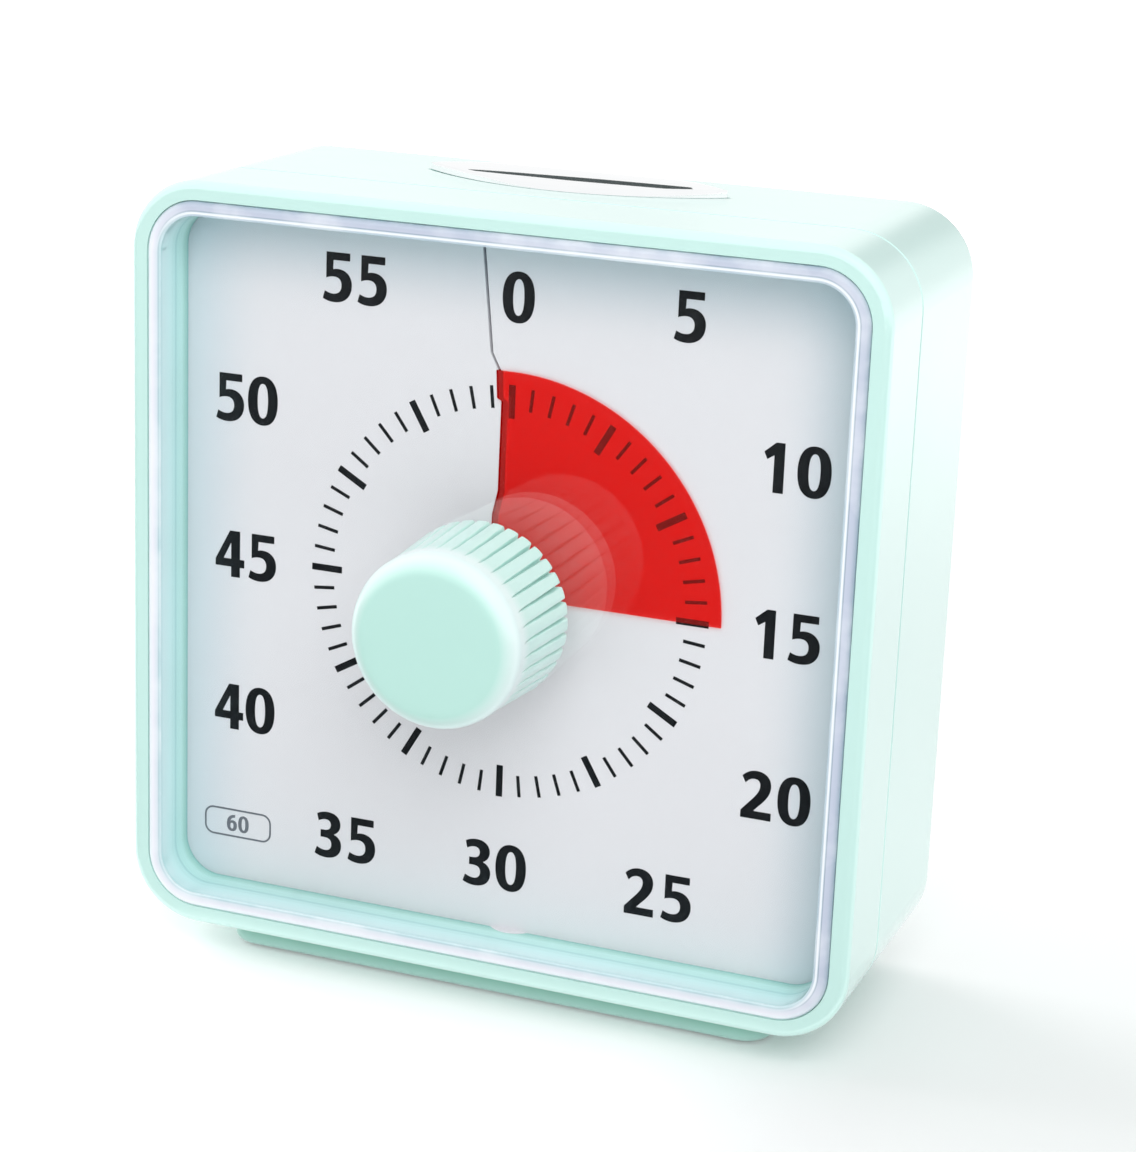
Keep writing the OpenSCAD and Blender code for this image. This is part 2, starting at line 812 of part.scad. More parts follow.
module plate_screws() {
    color(steel) facing() at_posts()
        screw(small_head_r, small_head_t, small_core_r, small_core_r,
            plate_back, plate_front, dial_back - gap);
}

module cover_screws() {
    color(steel) facing() at_cover_screws()
        translate([0, 0, plate_front]) rotate([180, 0, 0])
            screw(small_head_r, small_head_t, small_core_r, small_core_r, 0, plate_t, plate_t + 6);
}

module third_wheel() {
    color(white) facing() translate([third_x, 0, 0]) difference() {
        union() {
            between(output_at - gap, output_at + wheel_t + gap)
                rotate(180 / pinion_teeth) gear(pinion_teeth);
            between(third_at, third_at + 1) rotate(-90) gear(third_teeth);
            rod(gear_module * pinion_teeth * 0.36, third_boss_top + 0.1, output_at + wheel_t + 0.6);
        }
        rod(pin_r + run_fit, third_boss_top - 1, plate_back);
    }
}

module third_pin() {
    color(steel) facing() translate([third_x, 0, 0])
        rod(pin_r, cover_floor + 0.1, plate_back + pin_hole_t - 0.1);
}

module rotor() {
    color(white) facing() translate([third_x, rotor_y, 0]) difference() {
        union() {
            rod(1.2, rotor_boss_top + 0.1, third_at - 0.4);
            between(third_at - 0.4, third_at + 1.4) rotate(90 + 180 / pinion_teeth) gear(pinion_teeth);
        }
        rod(pin_r + run_fit, rotor_boss_top - 1, plate_back);
    }
}

module rotor_magnet() {
    color(black) facing() translate([third_x, rotor_y, 0])
        tube(magnet_r, 1.2 + run_fit, rotor_boss_top + 0.2, rotor_boss_top + 0.2 + magnet_t);
}

module rotor_pin() {
    color(steel) facing() translate([third_x, rotor_y, 0])
        rod(pin_r, cover_floor + 0.1, plate_back + pin_hole_t - 0.1);
}

// Flat core that carries the coil on its lower bar and closes round the rotor
module stator_plate() {
    left = third_x - 5.2;
    top = rotor_y + 4.6;
    bottom = core_y - core_w / 2;
    color(steel) facing() between(stator_at, stator_at + stator_t) difference() {
        translate([left, bottom]) square([stator_right - left, top - bottom]);
        translate([third_x + 5.6, bottom + core_w])
            square([stator_right - third_x - 8.8, top - bottom - 2 * core_w]);
        translate([third_x, rotor_y]) circle(magnet_r + 0.6);
    }
}

module coil_bar(from, to) {
    translate([from, core_y, stator_at + stator_t / 2]) rotate([0, 90, 0])
        linear_extrude(to - from) children();
}

module coil_bobbin() {
    hole = [stator_t + 0.2, core_w + 0.2];
    color(black) facing() difference() {
        union() {
            coil_bar(coil_from, coil_to) square(hole + [1, 1], center = true);
            for (x = [coil_from, coil_to - 0.8]) coil_bar(x, x + 0.8) square([5.6, 6.6], center = true);
        }
        coil_bar(coil_from - 1, coil_to + 1) square(hole, center = true);
    }
}

module coil_winding() {
    hole = [stator_t + 1.2, core_w + 1.2];
    color(copper) facing() coil_bar(coil_from + 0.85, coil_to - 0.85) difference() {
        intersection() {
            circle(winding_r);
            square([5.2, 8], center = true);
        }
        square(hole + [0.04, 0.04], center = true);
    }
}

module circuit_board() {
    color(green) facing() between(board_at, board_at + board_t) difference() {
        translate([0, board_y]) square(board_size, center = true);
        for (x = [-12, 12]) translate([x, board_y - 5.4]) circle(0.5);
    }
}

module timer_chip() {
    blob_r = 5.4;
    blob_t = 1.3;
    top = board_at + board_t;
    color(black) facing() intersection() {
        translate([-5, board_y, top + blob_t - blob_r]) sphere(blob_r);
        translate([-11, board_y - 6, top]) cube([12, 12, blob_t + 1]);
    }
}

module crystal() {
    color(steel) facing() translate([4, board_y + 2.6, board_at + board_t + 1.05]) rotate([0, 90, 0]) {
        cylinder(r = 1, h = 6);
        for (side = [-1, 1]) translate([0, side * 0.35, -2]) cylinder(r = 0.15, h = 2.1);
    }
}

// Button

module button_cap() {
    crown = button_rise - 0.2;
    long_r = (button_l * button_l / 4 + crown * crown) / (2 * crown);
    side = button_rise - 0.5;
    cross_r = (button_w * button_w / 4 + side * side) / (2 * side);
    color(steel) translate([0, button_y, 0]) difference() {
        intersection() {
            between(carrier_top, case_top + button_rise + 1) oval(button_l, button_w, 0);
            translate([0, 0, case_top + button_rise - long_r]) sphere(long_r, $fn = 240);
            translate([0, 0, case_top + button_rise - cross_r]) rotate([0, 90, 0])
                cylinder(r = cross_r, h = 2 * button_l, center = true);
        }
        for (x = [-peg_x, peg_x]) translate([x, 0, 0])
            rod(peg_r + run_fit, carrier_top - 1, carrier_top + 1.6);
    }
}

module button_carrier() {
    color(white) translate([0, button_y, 0]) {
        between(carrier_under, carrier_top) oval(button_l + 2 * carrier_tip, carrier_w, 0);
        for (x = [-peg_x, peg_x]) translate([x, 0, 0]) rod(peg_r, carrier_top - 0.5, carrier_top + 1.5);
    }
}

module switch_plunger() {
    color(black) translate([0, button_y, 0])
        rod(push_r, carrier_under - 3.6, carrier_under);
}

module button_springs() {
    color(steel) for (x = [-1, 1]) translate([x * spring_x, button_y, guide_top])
        coil(spring_r, spring_r, carrier_under - guide_top, spring_wire, 5);
}

// Tray under the button: floor, end walls beside the carrier, seats for the springs, ears for its screws
module button_guide() {
    wall_t = 1.2;
    wall_w = 12;
    color(white) difference() {
        translate([0, button_y, 0]) {
            between(guide_top - guide_t, guide_top) rounded_rect(2 * guide_screw_x + 6.4, guide_w, 3.1);
            for (x = [-1, 1]) translate([x * guide_wall_x - wall_t / 2, -wall_w / 2, guide_top - 0.5])
                cube([wall_t, wall_w, carrier_top - guide_top]);
            for (x = [-1, 1]) translate([x * spring_x, 0, 0]) rod(1.35, guide_top - 0.5, guide_top + 1.5);
        }
        at_guide_screws() rod(small_core_r + gap, guide_top - guide_t - 1, guide_top + 1);
    }
}

module guide_screws() {
    color(steel) at_guide_screws() screw(small_head_r, small_head_t, small_core_r, small_core_r,
        guide_top - guide_t, guide_top, guide_top + 5);
}

module button_board() {
    color(green) translate([0, button_y, 0]) between(guide_top, guide_top + push_board_t)
        square([12, 10], center = true);
}

module push_switch() {
    at = guide_top + push_board_t;
    color(black) translate([0, button_y, 0]) difference() {
        between(at, at + push_t) square(2 * push_half, center = true);
        rod(push_r + run_fit, carrier_under - 3.6 - button_travel - 0.1, at + push_t + 1);
    }
}

// Buzzer and volume switch

module buzzer_disc() {
    color(brass) facing() translate([buzzer_x, buzzer_y, 0]) rod(buzzer_r, buzzer_seat, buzzer_seat + 0.25);
}

module buzzer_ceramic() {
    color(white) facing() translate([buzzer_x, buzzer_y, 0])
        rod(buzzer_r - 3.8, buzzer_seat + 0.25, buzzer_seat + 0.45);
}

module volume_slider() {
    grip = rear_face + 0.1;
    color(black) facing() translate([volume_x, volume_y, 0]) {
        difference() {
            between(grip, volume_at - 0.2) square(volume_head, center = true);
            for (x = [-1.2, 0, 1.2]) translate([x - 0.25, -2, grip - 1]) cube([0.5, 4, 1.4]);
        }
        between(volume_at - 0.7, volume_at + 2.4) square(volume_stem, center = true);
    }
}

module volume_switch() {
    color(steel) facing() translate([volume_x, volume_y, 0]) difference() {
        between(volume_at, volume_at + volume_t) square(volume_body, center = true);
        between(volume_at - 1, volume_at + 2.7)
            square(volume_stem + [2 * volume_travel + 2 * gap, 0.2], center = true);
    }
}

module volume_board() {
    at = volume_at + volume_t;
    color(green) facing() translate([volume_x, volume_y, 0]) between(at, at + 1.2) difference() {
        square([2 * volume_post_x + 4.2, 7], center = true);
        for (x = [-1, 1]) translate([x * volume_post_x, 0]) circle(small_core_r + gap);
    }
}

module board_screws() {
    at = volume_at + volume_t + 1.2;
    color(steel) facing() for (x = [-1, 1]) translate([volume_x + x * volume_post_x, volume_y, at])
        rotate([180, 0, 0]) screw(small_head_r, small_head_t, small_core_r, small_core_r, 0, 1.2, 4.8);
}

// Battery

module battery_cell() {
    color(black) facing() translate([cell_from, bay_y, cell_at]) rotate([0, 90, 0]) {
        cylinder(r = cell_r, h = cell_l);
        cylinder(r = 2.7, h = cell_l + cell_nub);
    }
}

module contact_spring() {
    color(steel) facing() translate([-bay_half_l, bay_y, cell_at]) rotate([0, 90, 0])
        coil(4.2, 2.4, bay_half_l + cell_from - 0.1, 0.3, 4);
}

module contact_plate() {
    color(steel) facing() translate([bay_half_l, bay_y, cell_at]) {
        translate([-contact_t, -5.5, -5.5]) cube([contact_t, 11, 11]);
        rotate([0, -90, 0]) cylinder(r1 = 3, r2 = 1.6, h = contact_t + contact_bump);
    }
}

// Door with a rounded lower edge that it tips about, tabs that hook under the wall, and grip grooves
module battery_door() {
    edge_r = door_t / 2;
    groove = [14, 0.6, 0.5];
    color(mint) facing() translate([0, bay_y, 0]) {
        difference() {
            union() {
                translate([-door_half_l, edge_r - door_half_w, rear_face])
                    cube([2 * door_half_l, 2 * door_half_w - edge_r, door_t]);
                translate([0, edge_r - door_half_w, rear_face + edge_r]) rotate([0, 90, 0])
                    cylinder(r = edge_r, h = 2 * door_half_l, center = true);
            }
            for (k = [0 : 3]) translate([-groove[0] / 2, door_half_w - 3.4 - 1.5 * k, rear_face - 1])
                cube(groove + [0, 0, 1]);
        }
        for (x = [-tab_x, tab_x]) translate([x - tab_w / 2, -door_half_w, door_under]) {
            translate([0, 0.2, -0.5]) cube([tab_w, 1, tab_t + 0.7]);
            translate([0, -tab_reach, 0.2]) cube([tab_w, tab_reach + 1.2, tab_t]);
        }
    }
}

front_frame();
rear_shell();
lens();
dial_plate();
foot_base();
foot_pad();
case_screws();
foot_screws();
red_disk();
disk_hub();
knob();
knob_shaft();
output_wheel();
clutch_washer();
shaft_clip();
shaft_bush();
movement_plate();
movement_cover();
plate_screws();
cover_screws();
third_wheel();
third_pin();
rotor();
rotor_magnet();
rotor_pin();
stator_plate();
coil_bobbin();
coil_winding();
circuit_board();
timer_chip();
crystal();
button_cap();
button_carrier();
switch_plunger();
button_springs();
button_guide();
guide_screws();
button_board();
push_switch();
buzzer_disc();
buzzer_ceramic();
volume_slider();
volume_switch();
volume_board();
board_screws();
battery_cell();
contact_spring();
contact_plate();
battery_door();
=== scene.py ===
"""Looks of a hand-set countdown timer: finishes for its moulded, plated and turned parts, the printed dial,
the red sheet that winds out of the slit, the clear tray lens, and a plain studio."""

import math

import bmesh
import bpy
from mathutils import Matrix, Vector


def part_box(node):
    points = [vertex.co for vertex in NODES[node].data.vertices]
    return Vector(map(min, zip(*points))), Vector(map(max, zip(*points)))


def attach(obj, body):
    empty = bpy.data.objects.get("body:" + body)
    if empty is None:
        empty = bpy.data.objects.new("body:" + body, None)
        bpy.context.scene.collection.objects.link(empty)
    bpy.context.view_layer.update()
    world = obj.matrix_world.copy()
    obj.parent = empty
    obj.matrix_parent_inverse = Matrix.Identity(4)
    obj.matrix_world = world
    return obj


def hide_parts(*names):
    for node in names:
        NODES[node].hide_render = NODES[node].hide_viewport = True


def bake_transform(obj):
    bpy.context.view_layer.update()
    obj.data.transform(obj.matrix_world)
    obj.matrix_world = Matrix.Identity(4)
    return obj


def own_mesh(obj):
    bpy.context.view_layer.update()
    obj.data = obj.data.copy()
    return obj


bl_info = {
    "name": "Visual countdown timer",
    "version": (1, 0, 0),
    "blender": (4, 5, 0),
    "location": "3D View > Sidebar > Timer",
    "description": "Dresses the parts of a hand-set countdown timer and lights them in a plain studio",
    "category": "Object",
}

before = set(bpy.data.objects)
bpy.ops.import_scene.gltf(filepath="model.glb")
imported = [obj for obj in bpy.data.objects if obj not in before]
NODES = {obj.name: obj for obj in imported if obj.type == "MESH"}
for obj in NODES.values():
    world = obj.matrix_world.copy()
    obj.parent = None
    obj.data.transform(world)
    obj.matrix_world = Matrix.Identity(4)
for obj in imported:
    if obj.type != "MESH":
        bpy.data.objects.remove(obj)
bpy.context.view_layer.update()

MM = 0.001
WHITE = (1.0, 1.0, 1.0, 1.0)
VELVET = "#050505"
# The dial's axis above the table; a level is a distance from the middle of the case towards the viewer
AXIS_Z = 54.5
DIAL_FACE = 12.8
LENS_FACE = 20.2
LENS_UNDER = 18.6
SHEET_FRONT = 13.1
SHEET_THICKNESS = 0.25
INK_THICKNESS = 0.02
SLIT = [(-1.8, 7.0), (-1.8, 10.3), (-1.1, 13.5), (-1.0, 25.1), (-1.6, 25.4), (-1.8, 29.0)]


# Helpers


def linear(code):
    """An sRGB hex colour as the linear RGBA that a shader works in."""
    parts = [int(code[i : i + 2], 16) / 255 for i in (1, 3, 5)]
    return tuple(c / 12.92 if c <= 0.04045 else ((c + 0.055) / 1.055) ** 2.4 for c in parts) + (1.0,)


def feed(node, inputs):
    """Sets a node's inputs, each a value, an sRGB hex colour, a socket, or a node whose first output is linked."""
    for name, value in inputs.items():
        if isinstance(value, bpy.types.Node):
            value = value.outputs[0]
        if isinstance(value, bpy.types.NodeSocket):
            node.id_data.links.new(value, node.inputs[name])
        else:
            node.inputs[name].default_value = linear(value) if isinstance(value, str) else value
    return node


def add(tree, kind, inputs=None, **settings):
    """Adds one node, a shader node unless its kind says more. Settings go on the node; inputs are fed."""
    node = tree.nodes.new(kind if "Node" in kind else "ShaderNode" + kind)
    for name, value in settings.items():
        setattr(node, name, value)
    return feed(node, inputs or {})


def calc(operation, *values):
    """One step of arithmetic on values and sockets, in the tree of its first socket."""
    tree = next(value.id_data for value in values if hasattr(value, "id_data"))
    return add(tree, "Math", dict(enumerate(values)), operation=operation).outputs[0]


def ranged(value, start=0.0, end=1.0, low=0.0, high=1.0, easing="LINEAR"):
    """A value carried from one range to another and held at its ends."""
    return add(value.id_data, "MapRange", {0: value, 1: start, 2: end, 3: low, 4: high},
               interpolation_type=easing).outputs[0]


def mix(share, first, second):
    """A colour between two others."""
    return add(share.id_data, "Mix", {0: share, 6: first, 7: second}, data_type="RGBA").outputs[2]


def spot(tree):
    """The place on the object, in metres."""
    return add(tree, "TexCoord").outputs["Object"]


def part_of(vector, axis):
    """One of a vector's three parts."""
    return add(vector.id_data, "SeparateXYZ", {0: vector}).outputs[axis]


def per_mm(size):
    """Noise scale, in cycles per metre, of a pattern whose features are this many millimetres across."""
    return 1.0 / (size * MM)


def noise(tree, size, detail=2.0, place=None):
    """Noise whose features are this many millimetres across."""
    where = place or spot(tree)
    return add(tree, "TexNoise", {"Vector": where, "Scale": per_mm(size), "Detail": detail}).outputs[0]


def bump(height, depth, strength=0.5):
    """A bump this many millimetres deep."""
    bumps = add(height.id_data, "Bump", {"Strength": strength, "Distance": depth * MM, "Height": height})
    return bumps.outputs[0]


def attribute(tree, name):
    """A number that the piece carries at each of its points."""
    return add(tree, "Attribute", attribute_name=name).outputs["Fac"]


def held(value, low=0.0, high=1.0):
    """A number kept between two others."""
    return min(high, max(low, value))


def at(x, z, level):
    """A point of the dial's own drawing, in millimetres, as a point of the frame."""
    return Vector((x * MM, -level * MM, (AXIS_Z + z) * MM))


def drawn(point):
    """A point of the frame as x, z and level in the dial's own drawing."""
    return point.x / MM, point.z / MM - AXIS_Z, -point.y / MM


def outline(half, radius, steps=14):
    """Corners of a rounded square, as (x, z)."""
    points = []
    for quarter, (side, up) in enumerate(((1, 1), (-1, 1), (-1, -1), (1, -1))):
        for k in range(steps + 1):
            turn = math.radians(90 * (quarter + k / steps))
            points.append(((half - radius) * side + radius * math.cos(turn),
                           (half - radius) * up + radius * math.sin(turn)))
    return points


def skin(rows, columns, closed=True, looped=False):
    """Quads between neighbouring rows of points. Each row may close on itself, and the last row on the first."""
    faces = []
    for i in range(rows if looped else rows - 1):
        a, b = i * columns, (i + 1) % rows * columns
        for j in range(columns if closed else columns - 1):
            n = (j + 1) % columns
            faces.append((a + j, a + n, b + n, b + j))
    return faces


def washer(inner, outer, level, other_level):
    """Points and faces of a flat ring between two loops of (x, z) and two levels."""
    loops = ((inner, level), (outer, level), (outer, other_level), (inner, other_level))
    return [at(x, z, height) for loop, height in loops for x, z in loop], skin(4, len(inner), looped=True)


def outwards(mesh):
    """Joins points that coincide and turns all faces outwards."""
    form = bmesh.new()
    form.from_mesh(mesh)
    bmesh.ops.remove_doubles(form, verts=form.verts, dist=1e-7)
    bmesh.ops.recalc_face_normals(form, faces=form.faces)
    form.to_mesh(mesh)
    form.free()


def placed(name, data, material):
    """A new object of this mesh in the scene, with one material."""
    piece = bpy.data.objects.new(name, data)
    bpy.context.scene.collection.objects.link(piece)
    data.materials.clear()
    data.materials.append(material)
    return piece


def mesh_piece(name, points, faces, material, smooth_under=None):
    """A new object from points in metres in the frame, with its faces turned outwards."""
    mesh = bpy.data.meshes.new(name)
    mesh.from_pydata([tuple(p) for p in points], [], faces)
    outwards(mesh)
    if smooth_under:
        mesh.shade_smooth()
        mesh.set_sharp_from_angle(angle=math.radians(smooth_under))
    return placed(name, mesh, material)


def settled(piece, name, material):
    """The evaluated piece as a plain mesh object with no modifier, in place of the one that made it."""
    bpy.context.view_layer.update()
    graph = bpy.context.evaluated_depsgraph_get()
    mesh = bpy.data.meshes.new_from_object(piece.evaluated_get(graph))
    mesh.transform(piece.matrix_world)
    bpy.data.objects.remove(piece)
    return placed(name, mesh, material)


def point_values(piece, name, values):
    """Writes one number per point of a piece, for its material to read."""
    piece.data.attributes.new(name, "FLOAT", "POINT").data.foreach_set("value", values)


def carried(piece, body):
    """The piece rides a body."""
    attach(piece, body)


def finish(material, names):
    """Gives CAD nodes a material, in every slot they have."""
    for name in names.split():
        if name not in NODES:
            raise RuntimeError("no node " + name)
        for slot in NODES[name].material_slots:
            slot.material = material


# Finishes


# Plastics with nothing special to them: two colours, index, roughness, width and height of the grain in mm
PLASTICS = {
    # A little glossier than the sheet under it, and never quite black
    "screen_printed_ink": ("#0E1217", "#14181D", 1.5, 0.38, 0.25, 0.002),
    # The same ink laid thin through a fine mesh, so the white shows through as grey
    "thin_grey_ink": ("#747982", "#686D76", 1.5, 0.4, 0.2, 0.002),
    # Off a spark-eroded tool: charcoal rather than black, with a fine matt grain
    "black_abs_textured": ("#1B1C1F", "#232427", 1.54, 0.5, 0.18, 0.02),
    # Dark and dull, with a skin of tiny pimples
    "anti_slip_rubber": ("#26282A", "#2E3032", 1.52, 0.78, 0.35, 0.06),
}
# Metals: two colours, roughness, width of the streaks in mm and how they stretch along each axis
METALS = {
    # A mirror that takes all its look from the room
    "chrome_plated_abs": ("#FBFCFD", "#F5F7F8", 0.03, 6.0, (1, 1, 1)),
    # Bluish grey, half soft, faintly streaked along the wire or strip
    "zinc_plated_steel": ("#C9CDD2", "#B4B9C0", 0.26, 0.5, (0.3, 1, 1)),
    # Warm yellow with fine tool rings
    "turned_brass": ("#D9B767", "#C39E4C", 0.24, 0.3, (1, 0.2, 1)),
}


def shader(name, kind="BsdfPrincipled", inputs=None):
    """A new material that holds one shader and its output."""
    material = bpy.data.materials.new(name)
    material.use_nodes = True
    tree = material.node_tree
    tree.nodes.clear()
    surface = add(tree, kind, inputs)
    add(tree, "OutputMaterial", {"Surface": surface})
    return material, tree, surface


def looked_at(tree):
    """A socket that is 1 for rays that look at a surface and 0 for rays that light what lies behind it."""
    ways = add(tree, "LightPath").outputs
    return calc("SUBTRACT", 1.0, calc("MAXIMUM", ways["Is Shadow Ray"], ways["Is Diffuse Ray"]))


def seen(tree):
    """A socket that is 1 for rays of the camera, of mirrors and of glass."""
    ways = add(tree, "LightPath").outputs
    return calc("MAXIMUM", calc("MAXIMUM", ways["Is Camera Ray"], ways["Is Glossy Ray"]),
                ways["Is Transmission Ray"])


def bands(tree, across, *stops):
    """Colour bands along a value from 0 to 1, each stop a position and a colour."""
    node = add(tree, "ValToRGB", {0: across})
    ramp = node.color_ramp
    for k, (position, code) in enumerate(stops):
        stop = ramp.elements[k] if k < 2 else ramp.elements.new(position)
        stop.position = position
        stop.color = linear(code)
    return node.outputs[0]


def moulded(name, colour, other, ior, rough, grain_mm, relief_mm, share=None):
    """A moulded plastic: its colour goes over into another by a given share or in slow drifts, under an uneven
    sheen and a fine grain."""
    material, tree, surface = shader(name)
    grain = noise(tree, grain_mm, 3.0)
    drift = share(tree) if share else noise(tree, 30)
    feed(surface, {"Base Color": mix(drift, colour, other), "IOR": ior,
                   "Roughness": ranged(grain, low=rough - 0.04, high=rough + 0.04),
                   "Normal": bump(grain, relief_mm)})
    return material, tree, surface


def plastic(name):
    """A finish from the table of plastics."""
    return moulded(name, *PLASTICS[name])[0]


def metal(name):
    """A finish from the table of metals: its colour wavers along the way it was rolled, drawn or turned."""
    colour, shade, rough, streak_mm, stretch = METALS[name]
    material, tree, surface = shader(name)
    streak = noise(tree, streak_mm, 4.0, add(tree, "Mapping", {"Vector": spot(tree), "Scale": stretch}))
    feed(surface, {"Base Color": mix(streak, colour, shade), "Metallic": 1.0,
                   "Roughness": ranged(streak, low=rough * 0.8, high=rough * 1.25)})
    return material


def mint_abs(name, colour, coat_roughness, coat_index=1.88, other=None, share=None):
    """Pale ABS from a polished tool: an even mint under a strong clear gloss, so a face seen straight on keeps
    its mint and one seen at a slant takes the white of the room. Its waves show only in a highlight."""
    other = other or [c * 0.975 for c in colour]
    material, _, surface = moulded(name, (*colour, 1.0), (*other, 1.0), 1.54, 0.3, 9.0, 0.006, share)
    feed(surface, {"Coat Weight": 1.0, "Coat IOR": coat_index, "Coat Roughness": coat_roughness})
    return material


def knob_abs():
    """The knob's satin ABS, with a painted highlight: paler on the rounded crown and, less so, in the ribs."""
    knob = bpy.context.scene.timer_knob
    return mint_abs("mint_abs_satin", knob.colour, 0.3, 1.75, knob.crown_highlight_colour,
                    lambda tree: attribute(tree, "painted_highlight"))


def foot_abs():
    """The foot's ABS with painted shade: darker and more saturated where it meets the case above, paler towards the
    table.
    """
    case = bpy.context.scene.timer_case
    return mint_abs("mint_abs_foot_shaded", case.colour, 0.3, 1.5, case.foot_shade_colour,
                    lambda tree: ranged(part_of(spot(tree), 2), 0.2 * MM, 3.3 * MM))


def clear_styrene():
    """Clear polystyrene: nothing of its own shows but the mirror image in each polished face. A ray meets
    the inner face from inside, so its index is turned over there to keep the same faint gloss."""
    material, tree, surface = shader("clear_polystyrene_polished", "MixShader")
    index = ranged(add(tree, "NewGeometry").outputs["Backfacing"], low=1.59, high=1 / 1.59)
    # Lamps shine straight in, so what lies behind the lens keeps its own brightness
    share = calc("MULTIPLY", add(tree, "Fresnel", {"IOR": index}), looked_at(tree))
    see = add(tree, "BsdfTransparent", {"Color": WHITE})
    mirror = add(tree, "BsdfGlossy", {"Color": WHITE, "Roughness": 0.006})
    feed(surface, {0: share, 1: see, 2: mirror})
    return material


def lit_through(material, tree, surface):
    """Puts a clear way for light beside the surface, so what lies behind it stays lit."""
    clear = add(tree, "BsdfTransparent")
    both = add(tree, "MixShader", {0: looked_at(tree), 1: clear, 2: surface})
    feed(next(n for n in tree.nodes if n.type == "OUTPUT_MATERIAL"), {"Surface": both})
    return material


def styrene_end():
    """The end of the lens's side wall, seen along 7 mm of plastic: stripes that run with it are painted light and
    shade, lilac-white at the lower left, and greyer with a painted bright inner line at the upper right."""
    material, tree, surface = shader("clear_polystyrene_end_on")
    across = attribute(tree, "across")
    near = bands(tree, across, (0.0, "#9DBDC1"), (1.0, "#BFDCE1"), (0.07, "#CBDCE2"), (0.17, "#EDF4FA"),
                 (0.42, "#E9EAF3"), (0.62, "#DEE4ED"), (0.74, "#D5E1E9"), (0.84, "#B0CBD3"), (0.92, "#C6DFE4"))
    far = bands(tree, across, (0.0, "#7F93A2"), (1.0, "#B9CCDA"), (0.08, "#A3B3C3"), (0.30, "#BDC6D8"),
                (0.58, "#C5CCDD"), (0.66, "#93A6B8"), (0.73, "#EDF3FA"), (0.82, "#F6FAFF"), (0.89, "#C9D7E2"))
    # Painted shade: the upper right takes the greyer stripes, with their painted bright inner line
    stripes = mix(attribute(tree, "painted_far_side"), near, far)
    wisp = ranged(noise(tree, 6, 3.0), 0.45, 0.75, 0.0, 0.5)
    feed(surface, {"Base Color": mix(wisp, stripes, "#F3F6FB"), "Roughness": 0.12, "IOR": 1.59})
    return lit_through(material, tree, surface)


def styrene_side():
    """The inner face of the lens's side wall: the mint frame glows through the clear wall as a pale mint blue,
    with a thin teal line at the foot where the wall stands on the dial."""
    material, tree, surface = shader("clear_polystyrene_side")
    glow = bands(tree, attribute(tree, "rise"), (0.0, "#8CC4BF"), (1.0, "#BFE1E5"), (0.05, "#A9DAD4"),
                 (0.12, "#B4E4DC"), (0.24, "#CBF5F1"), (0.40, "#C8F3F0"), (0.45, "#B4E4E4"), (0.50, "#CDF5F4"),
                 (0.90, "#D8F2F5"))
    feed(surface, {"Base Color": glow, "Roughness": 0.08, "IOR": 1.3})
    return material


def printed_card():
    """White polypropylene sheet, matt from its rollers: a clean white with painted shade, a bluish grey laid over
    it towards the edges that stands for the shade of the tray's wall, and most so at the upper right."""
    material, tree, surface = shader("printed_polypropylene_sheet")
    place = spot(tree)
    high = calc("SUBTRACT", part_of(place, 2), AXIS_Z * MM)
    white = 1.0
    # Painted shade: a bluish grey laid over the edges, strongest at the right and the top
    for value, low_edge, high_edge in ((part_of(place, 0), 0.40, 0.46), (high, 0.0, 0.53)):
        near = ranged(calc("ABSOLUTE", value), 33 * MM, 46.5 * MM, easing="SMOOTHERSTEP")
        painted_shade = calc("MULTIPLY", near, ranged(value, -10 * MM, 10 * MM, low_edge, high_edge))
        white = calc("MULTIPLY", white, calc("SUBTRACT", 1.0, painted_shade))
    feed(surface, {"Base Color": mix(white, (0.47, 0.60, 0.69, 1.0), (0.79, 0.787, 0.822, 1.0)),
                   "Normal": bump(noise(tree, 1.2, 3.0), 0.0015), "Roughness": 0.42, "IOR": 1.49})
    return material


def red_sheet():
    """Red polypropylene sheet, 0.25 mm thick: saturated and smooth, lit through from the white behind it, so
    whatever is printed under it still shows. Only its front face clouds and mirrors; the dye tints both. At the
    fold the eye looks along the sheet, so it turns solid."""
    sheet = bpy.context.scene.timer_sheet
    material, tree, surface = shader("red_polypropylene_sheet", "MixShader")
    form = add(tree, "NewGeometry").outputs
    front = calc("MULTIPLY", calc("SUBTRACT", 1.0, form["Backfacing"]),
                 calc("LESS_THAN", part_of(form["Normal"], 1), 0.3))
    fold = attribute(tree, "fold")
    cloud = calc("MULTIPLY", front, ranged(fold, low=sheet.cloud, high=0.4))
    tint = mix(noise(tree, 18), (*sheet.colour, 1.0), (*[c * 0.93 for c in sheet.colour], 1.0))
    dye = add(tree, "BsdfDiffuse", {"Color": tint})
    see = add(tree, "BsdfTransparent", {"Color": (1.0, 0.25, 0.235, 1.0)})
    film = add(tree, "MixShader", {0: cloud, 1: see, 2: dye})
    share = add(tree, "LayerWeight", {"Blend": 0.29}).outputs["Fresnel"]
    for part in (front, ranged(fold, low=1.0, high=0.15), looked_at(tree)):
        share = calc("MULTIPLY", share, part)
    gloss = add(tree, "BsdfGlossy", {"Color": WHITE, "Roughness": 0.05})
    both = add(tree, "MixShader", {0: share, 1: film, 2: gloss})
    # To bounce and mirror rays the front face shows a pale painted colour in place of its red, so the knob beside
    # it keeps its mint
    pale_bounce = add(tree, "BsdfDiffuse", {"Color": (0.84, 0.82, 0.80, 1.0)})
    ways = add(tree, "LightPath").outputs
    thrown = calc("MULTIPLY", calc("MAXIMUM", ways["Is Diffuse Ray"], ways["Is Glossy Ray"]), front)
    feed(surface, {0: thrown, 1: both, 2: pale_bounce})
    return material


